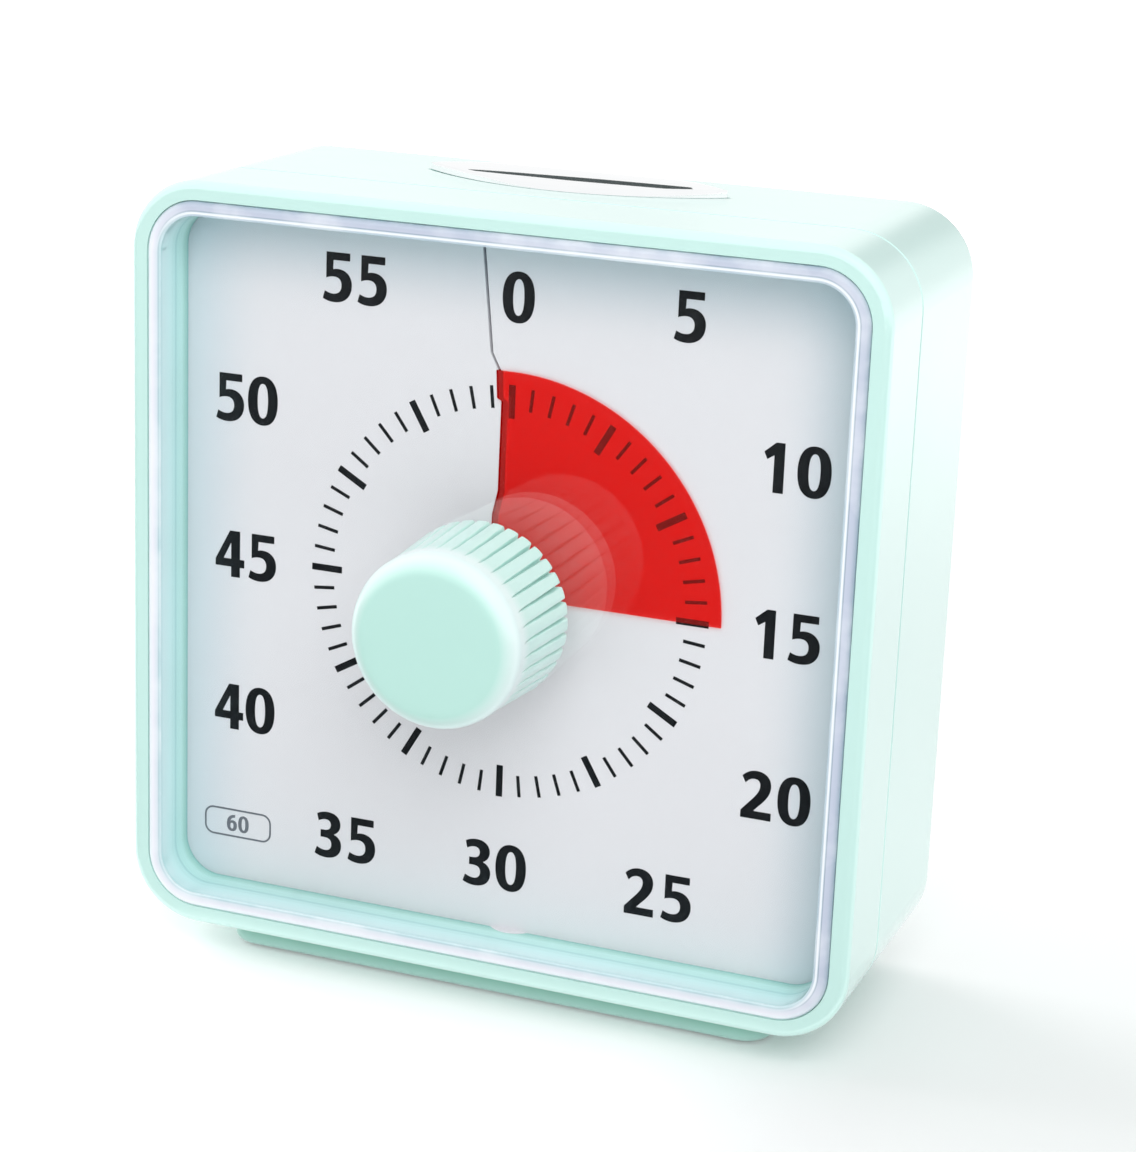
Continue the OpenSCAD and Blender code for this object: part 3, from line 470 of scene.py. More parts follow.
def coil_copper():
    """Enamelled winding wire: rows of reddish copper under a clear lacquer. The real 0.1 mm wire is too fine
    to show, so the rows are drawn 0.6 mm apart."""
    material, tree, surface = shader("enamelled_copper_wire")
    # At a scale of 1 the wave is 0.314 long
    wave, apart = 0.314, 0.6 * MM
    rows = add(tree, "TexWave", {"Vector": spot(tree), "Scale": wave / apart, "Distortion": 0.4},
               wave_type="BANDS", bands_direction="X", wave_profile="SIN").outputs["Fac"]
    feed(surface, {"Base Color": mix(rows, "#8E4423", "#D98852"),
                   "Normal": bump(rows, 0.06, 0.7), "Metallic": 0.85, "Roughness": 0.3, "Coat Weight": 0.6})
    return material


def natural_acetal():
    """Natural acetal for gears and plates: milky, waxy white with a dull shine."""
    material, _, surface = moulded("natural_acetal", "#EDEBE2", "#E5E3D9", 1.48, 0.45, 0.5, 0.004)
    feed(surface, {"Subsurface Weight": 0.1, "Subsurface Radius": (1.0, 0.9, 0.8), "Subsurface Scale": 0.8 * MM})
    return material


def solder_mask():
    """Green solder mask over copper: glossy, and lighter where tracks and ground areas lie under it."""
    material, tree, surface = shader("green_solder_mask")
    tracks = add(tree, "TexBrick", {"Vector": spot(tree), "Scale": per_mm(3.2), "Mortar Size": 0.07,
                 "Color1": "#175C3A", "Color2": "#1B6640", "Mortar": "#2F8A59"}).outputs
    feed(surface, {"Base Color": tracks["Color"], "Normal": bump(tracks["Fac"], 0.03, 0.4), "Roughness": 0.22})
    return material


def fired_ceramic():
    """Fired piezo ceramic with its silvered face: pale, dry, finely speckled."""
    material, tree, surface = shader("piezo_ceramic")
    grains = add(tree, "TexVoronoi", {"Vector": spot(tree), "Scale": per_mm(0.25)}).outputs["Distance"]
    feed(surface, {"Base Color": mix(grains, "#E4E1D6", "#CFCCC2"), "Roughness": 0.55})
    return material


def cell_jacket():
    """A dry cell in a plain shrink sleeve: slate blue foil between two bare, bright nickelled ends."""
    low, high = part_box("battery_cell")
    material, tree, surface = shader("dry_cell_sleeve")
    middle, reach = (low.x + high.x) / 2, (high.x - low.x) / 2
    away = calc("ABSOLUTE", calc("SUBTRACT", part_of(spot(tree), 0), middle))
    bare = calc("GREATER_THAN", away, reach - 1.8 * MM)
    sleeve = mix(noise(tree, 2.5), "#3E5A78", "#49678A")
    feed(surface, {"Base Color": mix(bare, sleeve, "#CFCDC6"), "Metallic": bare, "Roughness": 0.3})
    return material


def paper_floor():
    """Matt white paper. What the camera and mirrors see gets a painted glow, stronger further out and in front,
    until what is lit is plain white, so only the shadow stays darker."""
    lift = bpy.context.scene.timer_studio.lift
    material, tree, surface = shader("white_paper_sweep", "AddShader")
    place = spot(tree)
    away = add(tree, "VectorMath", {0: place}, operation="LENGTH").outputs["Value"]
    # Painted glow: more further out, and more in front of the case
    rise = calc("ADD", ranged(away, 0.14, 0.5, lift, lift + 0.5, "SMOOTHSTEP"),
                ranged(part_of(place, 0), 0.055, 0.02, 0.0, 0.14, "SMOOTHSTEP"))
    paper = add(tree, "BsdfDiffuse", {"Color": "#F0F1F1"})
    glow = add(tree, "Emission", {"Color": WHITE, "Strength": calc("MULTIPLY", seen(tree), rise)})
    feed(surface, {0: paper, 1: glow})
    return material


def grey_net():
    """A fine black net, close in its middle and open at its sides, that greys what is mirrored through it."""
    material, tree, surface = shader("grey_net", "MixShader")
    away = calc("ABSOLUTE", calc("SUBTRACT", part_of(spot(tree), 0), 0.10))
    holes = add(tree, "BsdfTransparent")
    thread = add(tree, "BsdfDiffuse", {"Color": VELVET})
    feed(surface, {0: ranged(away, 0.04, 0.20, 0.45, 0.0, "SMOOTHSTEP"), 1: holes, 2: thread})
    return material


def white_tent():
    """The room as a white tent, open and so dimmer towards the camera, and plain white wherever it is seen."""
    studio = bpy.context.scene.timer_studio
    room = bpy.data.worlds.new("studio_room")
    room.use_nodes = True
    tree = room.node_tree
    tree.nodes.clear()
    way = part_of(add(tree, "TexCoord").outputs["Generated"], 1)
    tent = ranged(way, -0.9, 0.2, studio.room * studio.open_front, studio.room, "SMOOTHSTEP")
    strength = add(tree, "Mix", {0: seen(tree), 2: tent, 3: 1.0}, data_type="FLOAT")
    sky = add(tree, "Background", {"Color": WHITE, "Strength": strength})
    add(tree, "OutputWorld", {"Surface": sky})
    return room


# Numerals: outlines in millimetres, x from the left edge and y down from the top, as cubic curves


DIGITS = {
    "0": (4.3, ["M2.15,-.1 C3.62,-.1 4.3,1.2 4.3,3.15 C4.3,5.1 3.62,6.4 2.15,6.4 C.68,6.4 0,5.1 0,3.15 "
                "C0,1.2 .68,-.1 2.15,-.1",
                "M2.15,.86 C1.62,.86 1.4,1.75 1.4,3.15 C1.4,4.55 1.62,5.44 2.15,5.44 C2.68,5.44 2.9,4.55 2.9,3.15 "
                "C2.9,1.75 2.68,.86 2.15,.86"]),
    "1": (2.62, ["M1.5,0 L2.62,0 L2.62,6.3 L1.3,6.3 L1.3,1.62 L.42,2.2 L0,1.28 L1.5,0"]),
    "2": (4.0, ["M0,6.3 L0,5.32 L1.35,3.8 C2.1,2.95 2.42,2.4 2.42,1.82 C2.42,1.28 2.12,.98 1.62,.98 "
                "C1.2,.98 .82,1.2 .5,1.66 L.02,.78 C.52,.2 1.15,-.1 1.85,-.1 C3.1,-.1 3.84,.66 3.84,1.75 "
                "C3.84,2.65 3.38,3.42 2.62,4.2 L1.72,5.16 L1.72,5.24 L4,5.24 L4,6.3 L0,6.3"]),
    "3": (3.9, ["M.3,.33 C.75,.05 1.25,-.1 1.85,-.1 C3.02,-.1 3.75,.52 3.75,1.52 C3.75,2.2 3.38,2.7 2.78,2.97 "
                "C3.48,3.2 3.9,3.72 3.9,4.48 C3.9,5.65 3.05,6.4 1.68,6.4 C1.02,6.4 .45,6.24 0,5.98 L.32,5 "
                "C.7,5.22 1.12,5.36 1.5,5.36 C2.12,5.36 2.45,5 2.45,4.42 C2.45,3.85 2.08,3.55 1.42,3.55 L.85,3.55 "
                "L.85,2.5 L1.4,2.5 C2,2.5 2.34,2.2 2.34,1.7 C2.34,1.24 2.05,.98 1.55,.98 C1.2,.98 .88,1.1 .55,1.32 "
                "L.3,.33"]),
    "4": (4.24, ["M2.12,0 L3.6,0 L3.6,3.84 L4.24,3.84 L4.24,4.93 L3.6,4.93 L3.6,6.3 L2.3,6.3 L2.3,4.93 L0,4.93 "
                 "L0,4.05 L2.12,0",
                 "M1.2,3.84 L2.3,3.84 L2.3,1.63 L1.2,3.84"]),
    "5": (4.04, ["M.45,0 L3.75,0 L3.75,1 L1.45,1 L1.4,2.2 C1.6,2.13 1.8,2.1 2.02,2.1 C3.25,2.1 4.04,2.9 4.04,4.1 "
                 "C4.04,5.5 3.12,6.4 1.66,6.4 C1.02,6.4 .46,6.26 0,6 L.28,5 C.7,5.22 1.06,5.32 1.44,5.32 "
                 "C2.2,5.32 2.6,4.9 2.6,4.2 C2.6,3.52 2.22,3.12 1.5,3.12 C1.15,3.12 .8,3.2 .45,3.36 L.45,0"]),
    "6": (4.1, ["M3.35,-.06 L3.35,.98 C2.2,1.06 1.62,1.55 1.46,2.46 C1.72,2.24 2.05,2.13 2.42,2.13 "
                "C3.45,2.13 4.1,2.92 4.1,4.12 C4.1,5.5 3.3,6.4 2.1,6.4 C.75,6.4 0,5.35 0,3.6 "
                "C0,1.3 1.15,.02 3.35,-.06",
                "M2.08,3.12 C1.66,3.12 1.42,3.5 1.42,4.15 C1.42,4.95 1.66,5.4 2.08,5.4 C2.5,5.4 2.7,4.98 2.7,4.22 "
                "C2.7,3.5 2.5,3.12 2.08,3.12"]),
}
DIGIT_MIDDLE = 3.15
# Each number's middle on the dial and the width of its ink
NUMBERS = {"0": (0.45, 38.4, 4.3), "5": (22.9, 38.4, 4.04), "10": (37.5, 21.1, 8.6), "15": (37.5, 0.0, 8.45),
           "20": (37.3, -21.2, 9.05), "25": (22.4, -37.0, 9.05), "30": (-0.3, -37.0, 8.9),
           "35": (-21.9, -37.0, 8.9), "40": (-37.0, -21.2, 8.9), "45": (-37.0, 0.0, 8.9),
           "50": (-37.0, 21.1, 8.9), "55": (-21.9, 38.4, 8.9)}


def traced(path, steps=12):
    """The points of one closed outline, its curves cut into short lines."""
    points = []
    for word in path.replace(" C", "|C").replace(" L", "|L").split("|"):
        numbers = [[float(v) for v in pair.split(",")] for pair in word[1:].split()]
        if word[0] in "ML":
            points.append(numbers[0])
            continue
        a, (b, c, d) = points[-1], numbers
        for k in range(1, steps + 1):
            t = k / steps
            s = 1 - t
            points.append([s**3 * a[i] + 3 * s * s * t * b[i] + 3 * s * t * t * c[i] + t**3 * d[i] for i in (0, 1)])
    return points[:-1]


def printed(name, outlines, material):
    """Outlines in (x, z) millimetres, filled and laid on the dial as a film of ink."""
    curve = bpy.data.curves.new(name, "CURVE")
    curve.dimensions = "2D"
    curve.fill_mode = "BOTH"
    curve.extrude = INK_THICKNESS * MM / 2
    for points in outlines:
        spline = curve.splines.new("POLY")
        spline.points.add(len(points) - 1)
        for k, (x, z) in enumerate(points):
            spline.points[k].co = (x * MM, z * MM, 0, 1)
        spline.use_cyclic_u = True
    flat = placed(name, curve, material)
    middle = Matrix.Translation(at(0, 0, DIAL_FACE + INK_THICKNESS / 2))
    flat.matrix_world = middle @ Matrix.Rotation(math.pi / 2, 4, "X")
    film = settled(flat, name, material)
    outwards(film.data)
    return film


def number_outlines(text, x, z, width, scale=1.0):
    """Outlines of a number whose middle is at x, z and whose ink is this wide."""
    result = []
    for k, digit in enumerate(text):
        own, contours = DIGITS[digit]
        left = x - width / 2 if k == 0 else x + width / 2 - own * scale
        for contour in contours:
            result.append([(left + px * scale, z + (DIGIT_MIDDLE - py) * scale) for px, py in traced(contour)])
    return result


# Sizes and colours


def setting(kind, **always):
    """A maker of one kind of setting, from its name, description and value."""
    return lambda name, description, value, **more: getattr(bpy.props, kind + "Property")(
        name=name, description=description, default=value, **always, **more)


a_length = setting("Float", unit="LENGTH", subtype="DISTANCE")
a_number = setting("Float")
a_count = setting("Int")
a_colour = setting("FloatVector", subtype="COLOR", min=0, max=1)
a_place = setting("FloatVector", subtype="TRANSLATION", unit="LENGTH")
a_direction = setting("FloatVector", subtype="DIRECTION")


class TimerCase(bpy.types.PropertyGroup):
    colour: a_colour("Colour", "Colour of the moulded case", (0.615, 0.89, 0.835))
    # The foot's colour at its top is painted shade under the case
    foot_shade_colour: a_colour("Foot colour", "Colour of the solid foot, deeper than the thin case", (0.11, 0.43, 0.31))
    gloss_roughness: a_number("Gloss roughness", "Roughness of the clear gloss", 0.12, min=0.05, max=1)


class TimerKnob(bpy.types.PropertyGroup):
    colour: a_colour("Colour", "Colour of the moulded knob", (0.50, 0.80, 0.725))
    # The crown's colour is a painted highlight
    crown_highlight_colour: a_colour("Rim colour", "Colour of the knob's rounded crown", (0.76, 0.895, 0.885))
    ribs: a_count("Ribs", "Number of ribs round the knob", 36, min=12, max=72)
    radius: a_length("Radius", "Radius over the ribs at the base", 11.74 * MM)
    neck: a_length("Neck", "Radius where the ribs have run out", 11.1 * MM)
    groove: a_length("Groove", "Width of a groove at the base", 0.62 * MM)


class TimerButton(bpy.types.PropertyGroup):
    crown: a_length("Crown", "How far the top falls from its middle to its long edges", 0.6 * MM)
    edge: a_length("Edge", "Radius of the rounded edge", 0.3 * MM)


class TimerDial(bpy.types.PropertyGroup):
    ticks: a_count("Ticks", "Number of minute ticks", 60, min=12, max=120)
    major_every: a_count("Major every", "Ticks from one long tick to the next", 5, min=1, max=15)
    minor_inner: a_length("Short tick, inner radius", "Where a short tick starts", 24.2 * MM)
    minor_outer: a_length("Short tick, outer radius", "Where a short tick ends", 27.1 * MM)
    minor_width: a_length("Short tick width", "Width of a short tick", 0.45 * MM)
    major_inner: a_length("Long tick, inner radius", "Where a long tick starts", 23.0 * MM)
    major_outer: a_length("Long tick, outer radius", "Where a long tick ends", 27.3 * MM)
    major_width: a_length("Long tick width", "Width of a long tick", 0.9 * MM)


class TimerSheet(bpy.types.PropertyGroup):
    colour: a_colour("Colour", "Colour of the sheet", (1.0, 0.05, 0.045))
    radius: a_length("Radius", "Radius of the sheet", 29.0 * MM)
    cloud: a_number("Cloud", "Share of light that the sheet itself scatters", 0.2, min=0, max=1)


class TimerStudio(bpy.types.PropertyGroup):
    place: a_place("Camera", "Where the camera stands", (0.135088, -0.345493, 0.162027))
    ahead: a_direction("Ahead", "The way the camera looks", (-0.341650, 0.897147, -0.280006))
    right: a_direction("Right", "The camera's right hand side", (0.929873, 0.365928, 0.037858))
    lens: a_number("Lens", "Focal length in millimetres", 92.1)
    room: a_number("Room light", "Strength of the soft light from all round", 0.665)
    open_front: a_number("Open front", "Share of the room light left at the front", 0.8)
    key: a_number("Key light", "Power of the soft lamp at the left, in watts", 5.6)
    front: a_number("Front light", "Power of the soft lamp in front, in watts", 8.6)
    lift: a_number("Paper lift", "Glow that brings lit paper up to plain white", 0.03)


# Pieces


class TIMER_OT_mouldings(bpy.types.Operator):
    """Finish the mint case, foot and door, the rubber pad under the foot, and the dial's card"""

    bl_idname = "timer.mouldings"
    bl_label = "Case and foot"

    def execute(self, context):
        case = context.scene.timer_case
        mint = mint_abs("mint_abs_moulded", case.colour, case.gloss_roughness)
        finish(mint, "front_frame rear_shell battery_door")
        finish(foot_abs(), "foot_base")
        finish(plastic("anti_slip_rubber"), "foot_pad")
        finish(printed_card(), "dial_plate")
        return {"FINISHED"}


class TIMER_OT_knob(bpy.types.Operator):
    """Make the knob: ribs parted by narrow grooves that fade out below a softly rounded crown"""

    bl_idname = "timer.knob"
    bl_label = "Knob"

    def execute(self, context):
        knob = context.scene.timer_knob
        radius, neck, half_groove = knob.radius / MM, knob.neck / MM, knob.groove / MM / 2
        half_pitch = math.pi * radius / knob.ribs
        # Levels of the open end, of the ribs' and the grooves' ends, of the crown's foot and of the front
        base, rib_end, fade, crown, top = 20.6, 31.8, 32.7, 34.4, 36.8
        # Radii of the front's flat and of the bore, level of the hollow's floor, and how finely the profile is cut
        shoulder, bore, cup, rows, bends = 8.4, 2.55, 34.2, 13, 12
        # A groove's depth under the neck, how far its root rises where it runs out, and the rounding of its edges
        depth, rise, rounding, lobe_drop = 0.38, 0.42, 0.16, 0.1
        # Profile from the middle of the front, round the crown, down the ribs and up the hollow to the bore
        profile = [(0.0, top), (4.0, top - 0.02), (7.0, top - 0.05)]
        for k in range(bends + 1):
            a = math.radians(90 * k / bends)
            profile.append((shoulder + (neck - shoulder) * math.sin(a), crown + (top - 0.08 - crown) * math.cos(a)))
        profile += [(neck, level) for level in (33.9, 33.5, 33.1, fade, 32.2)]
        profile += [(neck + (radius - neck) * k / rows, rib_end - (rib_end - base) * k / rows) for k in range(rows)]
        profile += [(radius - 0.01, base + 0.45), (radius - 0.05, base + 0.22), (radius - 0.16, base + 0.06),
                    (radius - 0.32, base), (9.5, base), (9.5, cup), (4.6, cup), (4.6, base), (bore, base),
                    (bore, 33.4), (0.0, 33.4)]
        shares = (0, 0.03, 0.06, 0.1, 0.14, 0.18, 0.24, 0.34, 0.5, 0.66, 0.76, 0.82, 0.86, 0.9, 0.94, 0.97)
        turns = [(k + share) / knob.ribs for k in range(knob.ribs) for share in shares]
        points = []
        for r, level in profile:
            for turn in turns:
                off = abs((turn * knob.ribs + 0.5) % 1 - 0.5) * 2 * half_pitch
                out = r
                if level < crown and r > 9.6:
                    # A groove is deep for most of its length and runs out just below the crown
                    run_out = held((level - fade + 1.2) / 2.2)
                    root = neck - depth + rise * run_out * run_out * (3 - 2 * run_out)
                    wall = root + (radius - root) * (off - 0.05) / (half_groove - 0.05)
                    lobe = r - lobe_drop * (1 - off / half_pitch) ** 2 * (radius - r < 0.6)
                    # Smooth minimum, so both edges of a groove are rounded
                    blend = max(0.0, rounding - abs(lobe - wall)) / rounding
                    out = max(min(lobe, wall) - rounding / 4 * blend * blend, min(r, root - 0.03))
                a = math.tau * (turn + 0.5 / knob.ribs)
                points.append(at(out * math.cos(a), out * math.sin(a), level))
        piece = mesh_piece("setting_knob", points, skin(len(profile), len(turns)), knob_abs(), 50)
        # How much painted highlight each point takes: most on the crown, less in the ribs
        painted_highlight = []
        for v in piece.data.vertices:
            x, z, level = drawn(v.co)
            painted_highlight.append(held((math.hypot(x, z) - 9.1) / 1.7) * held((level - 31.0) / 2.6, 0.3))
        point_values(piece, "painted_highlight", painted_highlight)
        carried(piece, "dial_drive")
        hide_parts("knob")
        return {"FINISHED"}


class TIMER_OT_button(bpy.types.Operator):
    """Make the chrome button: a long oval with pointed ends, crowned across its width, with a rounded edge"""

    bl_idname = "timer.button"
    bl_label = "Button"

    def execute(self, context):
        low, high = (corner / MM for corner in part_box("button_cap"))
        long, wide, middle = high.x - low.x, high.y - low.y, (low.y + high.y) / 2
        button = context.scene.timer_button
        drop, edge = button.crown / MM, button.edge / MM
        end_drop, columns = 0.25, 64
        # Radii of the oval's two sides and of its crown
        arc = (long * long + wide * wide) / (4 * wide)
        cross = (wide * wide / 4 + drop * drop) / (2 * drop)
        shares = [(1.0, math.radians(a)) for a in (90, 68, 45, 22, 0)]
        shares += [(v / 8, None) for v in range(7, -8, -1)]
        shares += [(-1.0, math.radians(a)) for a in (0, 22, 45, 68, 90)]
        points = []
        for i in range(1, columns):
            x = -long / 2 * math.cos(math.pi * i / columns)
            half = math.sqrt(arc * arc - x * x) - (arc - wide / 2)
            soft = min(edge, half * 0.6)
            for side, turn in shares:
                y = side * (half - soft)
                fall = 0.0
                if turn is not None:
                    y, fall = side * (half - soft + soft * math.sin(turn)), soft * (1 - math.cos(turn))
                # Crowned across, and only slightly along
                points.append((x, middle + y, high.z - y * y / (2 * cross) - end_drop * (2 * x / long) ** 4 - fall))
            points += [(x, middle - half, low.z), (x, middle + half, low.z)]
        count = len(shares) + 2
        faces = skin(columns - 1, count)
        for x, first in ((low.x, 0), (high.x, (columns - 2) * count)):
            row = range(first, first + count)
            tip_high, tip_low = len(points), len(points) + 1
            points += [(x, middle, high.z - end_drop - edge), (x, middle, low.z)]
            top = row[:-2]
            faces += [(top[j], top[j + 1], tip_high) for j in range(len(top) - 1)]
            faces += [(top[-1], row[-2], tip_low, tip_high), (row[-2], row[-1], tip_low),
                      (row[-1], top[0], tip_high, tip_low)]
        cap = mesh_piece("button_top", [Vector(p) * MM for p in points], faces, metal("chrome_plated_abs"), 50)
        carried(cap, "button")
        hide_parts("button_cap")
        return {"FINISHED"}


class TIMER_OT_works(bpy.types.Operator):
    """Finish what is inside: gears, plates, screws, coil, boards, cell and contacts"""

    bl_idname = "timer.works"
    bl_label = "Works"

    def execute(self, context):
        steel = metal("zinc_plated_steel")
        finish(steel, "case_screws foot_screws plate_screws cover_screws guide_screws board_screws knob_shaft "
               "clutch_washer shaft_clip third_pin rotor_pin stator_plate crystal button_springs contact_spring "
               "contact_plate volume_switch")
        finish(metal("turned_brass"), "shaft_bush buzzer_disc")
        finish(coil_copper(), "coil_winding")
        finish(natural_acetal(), "disk_hub output_wheel movement_plate movement_cover third_wheel rotor "
               "button_carrier button_guide")
        finish(plastic("black_abs_textured"), "rotor_magnet coil_bobbin timer_chip switch_plunger push_switch "
               "volume_slider")
        finish(solder_mask(), "circuit_board button_board volume_board")
        finish(fired_ceramic(), "buzzer_ceramic")
        finish(cell_jacket(), "battery_cell")
        # The button's springs shorten under it; here they are a fixed steel copy in place of the node
        springs = NODES["button_springs"]
        mesh = springs.data.copy()
        mesh.transform(springs.matrix_world)
        coils = placed("button_coils", mesh, steel)
        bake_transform(coils)
        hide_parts("button_springs")
        return {"FINISHED"}


class TIMER_OT_print(bpy.types.Operator):
    """Print the minute ticks, the numbers and the small frame at the lower left of the dial"""

    bl_idname = "timer.print"
    bl_label = "Dial print"

    def execute(self, context):
        ink = plastic("screen_printed_ink")
        dial = context.scene.timer_dial
        values = {"ticks": dial.ticks, "major every": dial.major_every, "film": INK_THICKNESS * MM, "ink": ink}
        for kind in ("minor", "major"):
            for size in ("inner", "outer", "width"):
                values[f"{kind} {size}"] = getattr(dial, f"{kind}_{size}")
        tree = bpy.data.node_groups.new("minute_ring", "GeometryNodeTree")
        tree.interface.new_socket("ring", in_out="OUTPUT", socket_type="NodeSocketGeometry")
        settings = {}
        for label, value in values.items():
            kind = {int: "NodeSocketInt", float: "NodeSocketFloat"}.get(type(value), "NodeSocketMaterial")
            settings[tree.interface.new_socket(label, in_out="INPUT", socket_type=kind).identifier] = value
        given = add(tree, "NodeGroupInput").outputs
        index = add(tree, "GeometryNodeInputIndex").outputs[0]
        centre = add(tree, "GeometryNodePoints", {"Count": given["ticks"]})
        turn = calc("MULTIPLY", index, calc("DIVIDE", math.tau, given["ticks"]))
        face = add(tree, "CombineXYZ", {"Y": turn})
        is_major = calc("LESS_THAN", calc("MODULO", index, given["major every"]), 0.5)
        rings = add(tree, "GeometryNodeJoinGeometry")
        for kind, chosen in (("minor", calc("SUBTRACT", 1.0, is_major)), ("major", is_major)):
            inner, outer, width = (given[f"{kind} {size}"] for size in ("inner", "outer", "width"))
            size = add(tree, "CombineXYZ", {0: width, 1: given["film"], 2: calc("SUBTRACT", outer, inner)})
            away = add(tree, "CombineXYZ", {2: calc("MULTIPLY", calc("ADD", outer, inner), 0.5)})
            cube = add(tree, "GeometryNodeMeshCube", {"Size": size})
            bar = add(tree, "GeometryNodeTransform", {"Geometry": cube, "Translation": away})
            spread = {"Points": centre, "Selection": chosen, "Instance": bar, "Rotation": face}
            feed(rings, {0: add(tree, "GeometryNodeInstanceOnPoints", spread)})
        real = add(tree, "GeometryNodeRealizeInstances", {"Geometry": rings})
        inked = add(tree, "GeometryNodeSetMaterial", {"Geometry": real, "Material": given["ink"]})
        add(tree, "NodeGroupOutput", {0: inked})
        seed = placed("minute_ring_seed", bpy.data.meshes.new("minute_ring_seed"), ink)
        grow = seed.modifiers.new("minute_ring", "NODES")
        grow.node_group = tree
        for identifier, value in settings.items():
            grow[identifier] = value
        seed.matrix_world = Matrix.Translation(at(0, 0, DIAL_FACE + 0.4 * INK_THICKNESS))
        ring = settled(seed, "dial_ticks", ink)
        if len(ring.data.polygons) != 6 * dial.ticks:
            raise RuntimeError("the minute ring came out with the wrong number of ticks")
        carried(ring, "housing")

        outlines = []
        for text, (x, z, width) in NUMBERS.items():
            outlines += number_outlines(text, x, z, width)
        carried(printed("dial_numbers", outlines, ink), "housing")

        wide, tall, line, corner, middle = 10.0, 4.06, 0.26, 1.35, (-37.9, -37.8)
        frames = []
        for inset in (0, line):
            radius = corner - inset
            frames.append([(middle[0] + math.copysign(wide / 2 - inset - radius, px) + px * radius,
                            middle[1] + math.copysign(tall / 2 - inset - radius, pz) + pz * radius)
                           for px, pz in outline(1.0, 0.999, 8)])
        frames += number_outlines("60", *middle, 3.3, scale=0.37)
        carried(printed("dial_badge", frames, plastic("thin_grey_ink")), "housing")
        return {"FINISHED"}


class TIMER_OT_sheet(bpy.types.Operator):
    """Make the red sheet: the fan that has come out of the slit, and the rest of the disk behind the dial"""

    bl_idname = "timer.sheet"
    bl_label = "Red sheet"

    def execute(self, context):
        red = red_sheet()
        radius = context.scene.timer_sheet.radius / MM
        quarter, turns = math.pi / 2, 60
        # How far the fold stands left of the slit's line, and the film's half thickness in the slit
        stand, half = 0.27, 0.12
        edge = []
        for (x0, z0), (x1, z1) in zip(SLIT, SLIT[1:]):
            parts = max(1, round(math.hypot(x1 - x0, z1 - z0) / 0.8))
            edge += [(x0 + (x1 - x0) * j / parts, z0 + (z1 - z0) * j / parts) for j in range(parts)]
        edge.append(SLIT[-1])
        # Rows run from the slit to 90 degrees at each radius of the slit's own points; the first two columns
        # dip into the slit, so the sheet is seen to come up out of it
        rows = []
        for x, z in edge:
            r, start = math.hypot(x, z), math.atan2(x, z)
            row = [(x - stand, z, DIAL_FACE - 0.9), (x - stand, z, SHEET_FRONT - SHEET_THICKNESS)]
            for k in range(turns + 1):
                a = start + (quarter - start) * k / turns
                row.append((r * math.sin(a), r * math.cos(a), SHEET_FRONT + 0.12 * min(1.0, k / 2)))
            rows.append(row)
        width, last = len(rows[0]), len(edge) - 1
        count = width * len(rows)
        points = []
        for side in (1, -1):
            for row in rows:
                for j, (x, z, level) in enumerate(row):
                    # Where the sheet stands up in the slit its thickness lies across the slit
                    points.append(at(x + half * side, z, level) if j < 2
                                  else at(x, z, level + side * SHEET_THICKNESS / 2))
        top = skin(len(rows), width, closed=False)
        faces = top + [tuple(count + p for p in reversed(face)) for face in top]
        rim = [*range(width), *(i * width + width - 1 for i in range(1, last + 1)),
               *(last * width + j for j in range(width - 2, -1, -1)), *(i * width for i in range(last - 1, 0, -1))]
        faces += [(a, b, count + b, count + a) for a, b in zip(rim, rim[1:] + rim[:1])]
        fan = mesh_piece("red_fan", points, faces, red, 40)
        steep, weights = [], []
        for v in fan.data.vertices:
            x, z, level = drawn(v.co)
            steep.append(held((1.1 - min(math.hypot(x - px, z - pz) for px, pz in edge)) / 0.5))
            weights.append(max(0.0, math.atan2(x, z)) / quarter if level > SHEET_FRONT - 0.2 else 0.0)
        point_values(fan, "fold", steep)
        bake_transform(fan)
        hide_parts("red_disk")

        # The rest of the disk, behind the dial, as one piece that turns with the knob's drive; past half an hour
        # more of it would come forward than one piece can follow
        steps, hub, rear, face = 96, 7.3, 10.42, 10.62
        loops = [[(r * math.sin(math.tau * k / steps), r * math.cos(math.tau * k / steps)) for k in range(steps)]
                 for r in (hub, radius)]
        back = mesh_piece("red_back", *washer(*loops, rear, face), red, 40)
        carried(back, "dial_drive")
        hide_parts("red_disk")
        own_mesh(back)
        return {"FINISHED"}


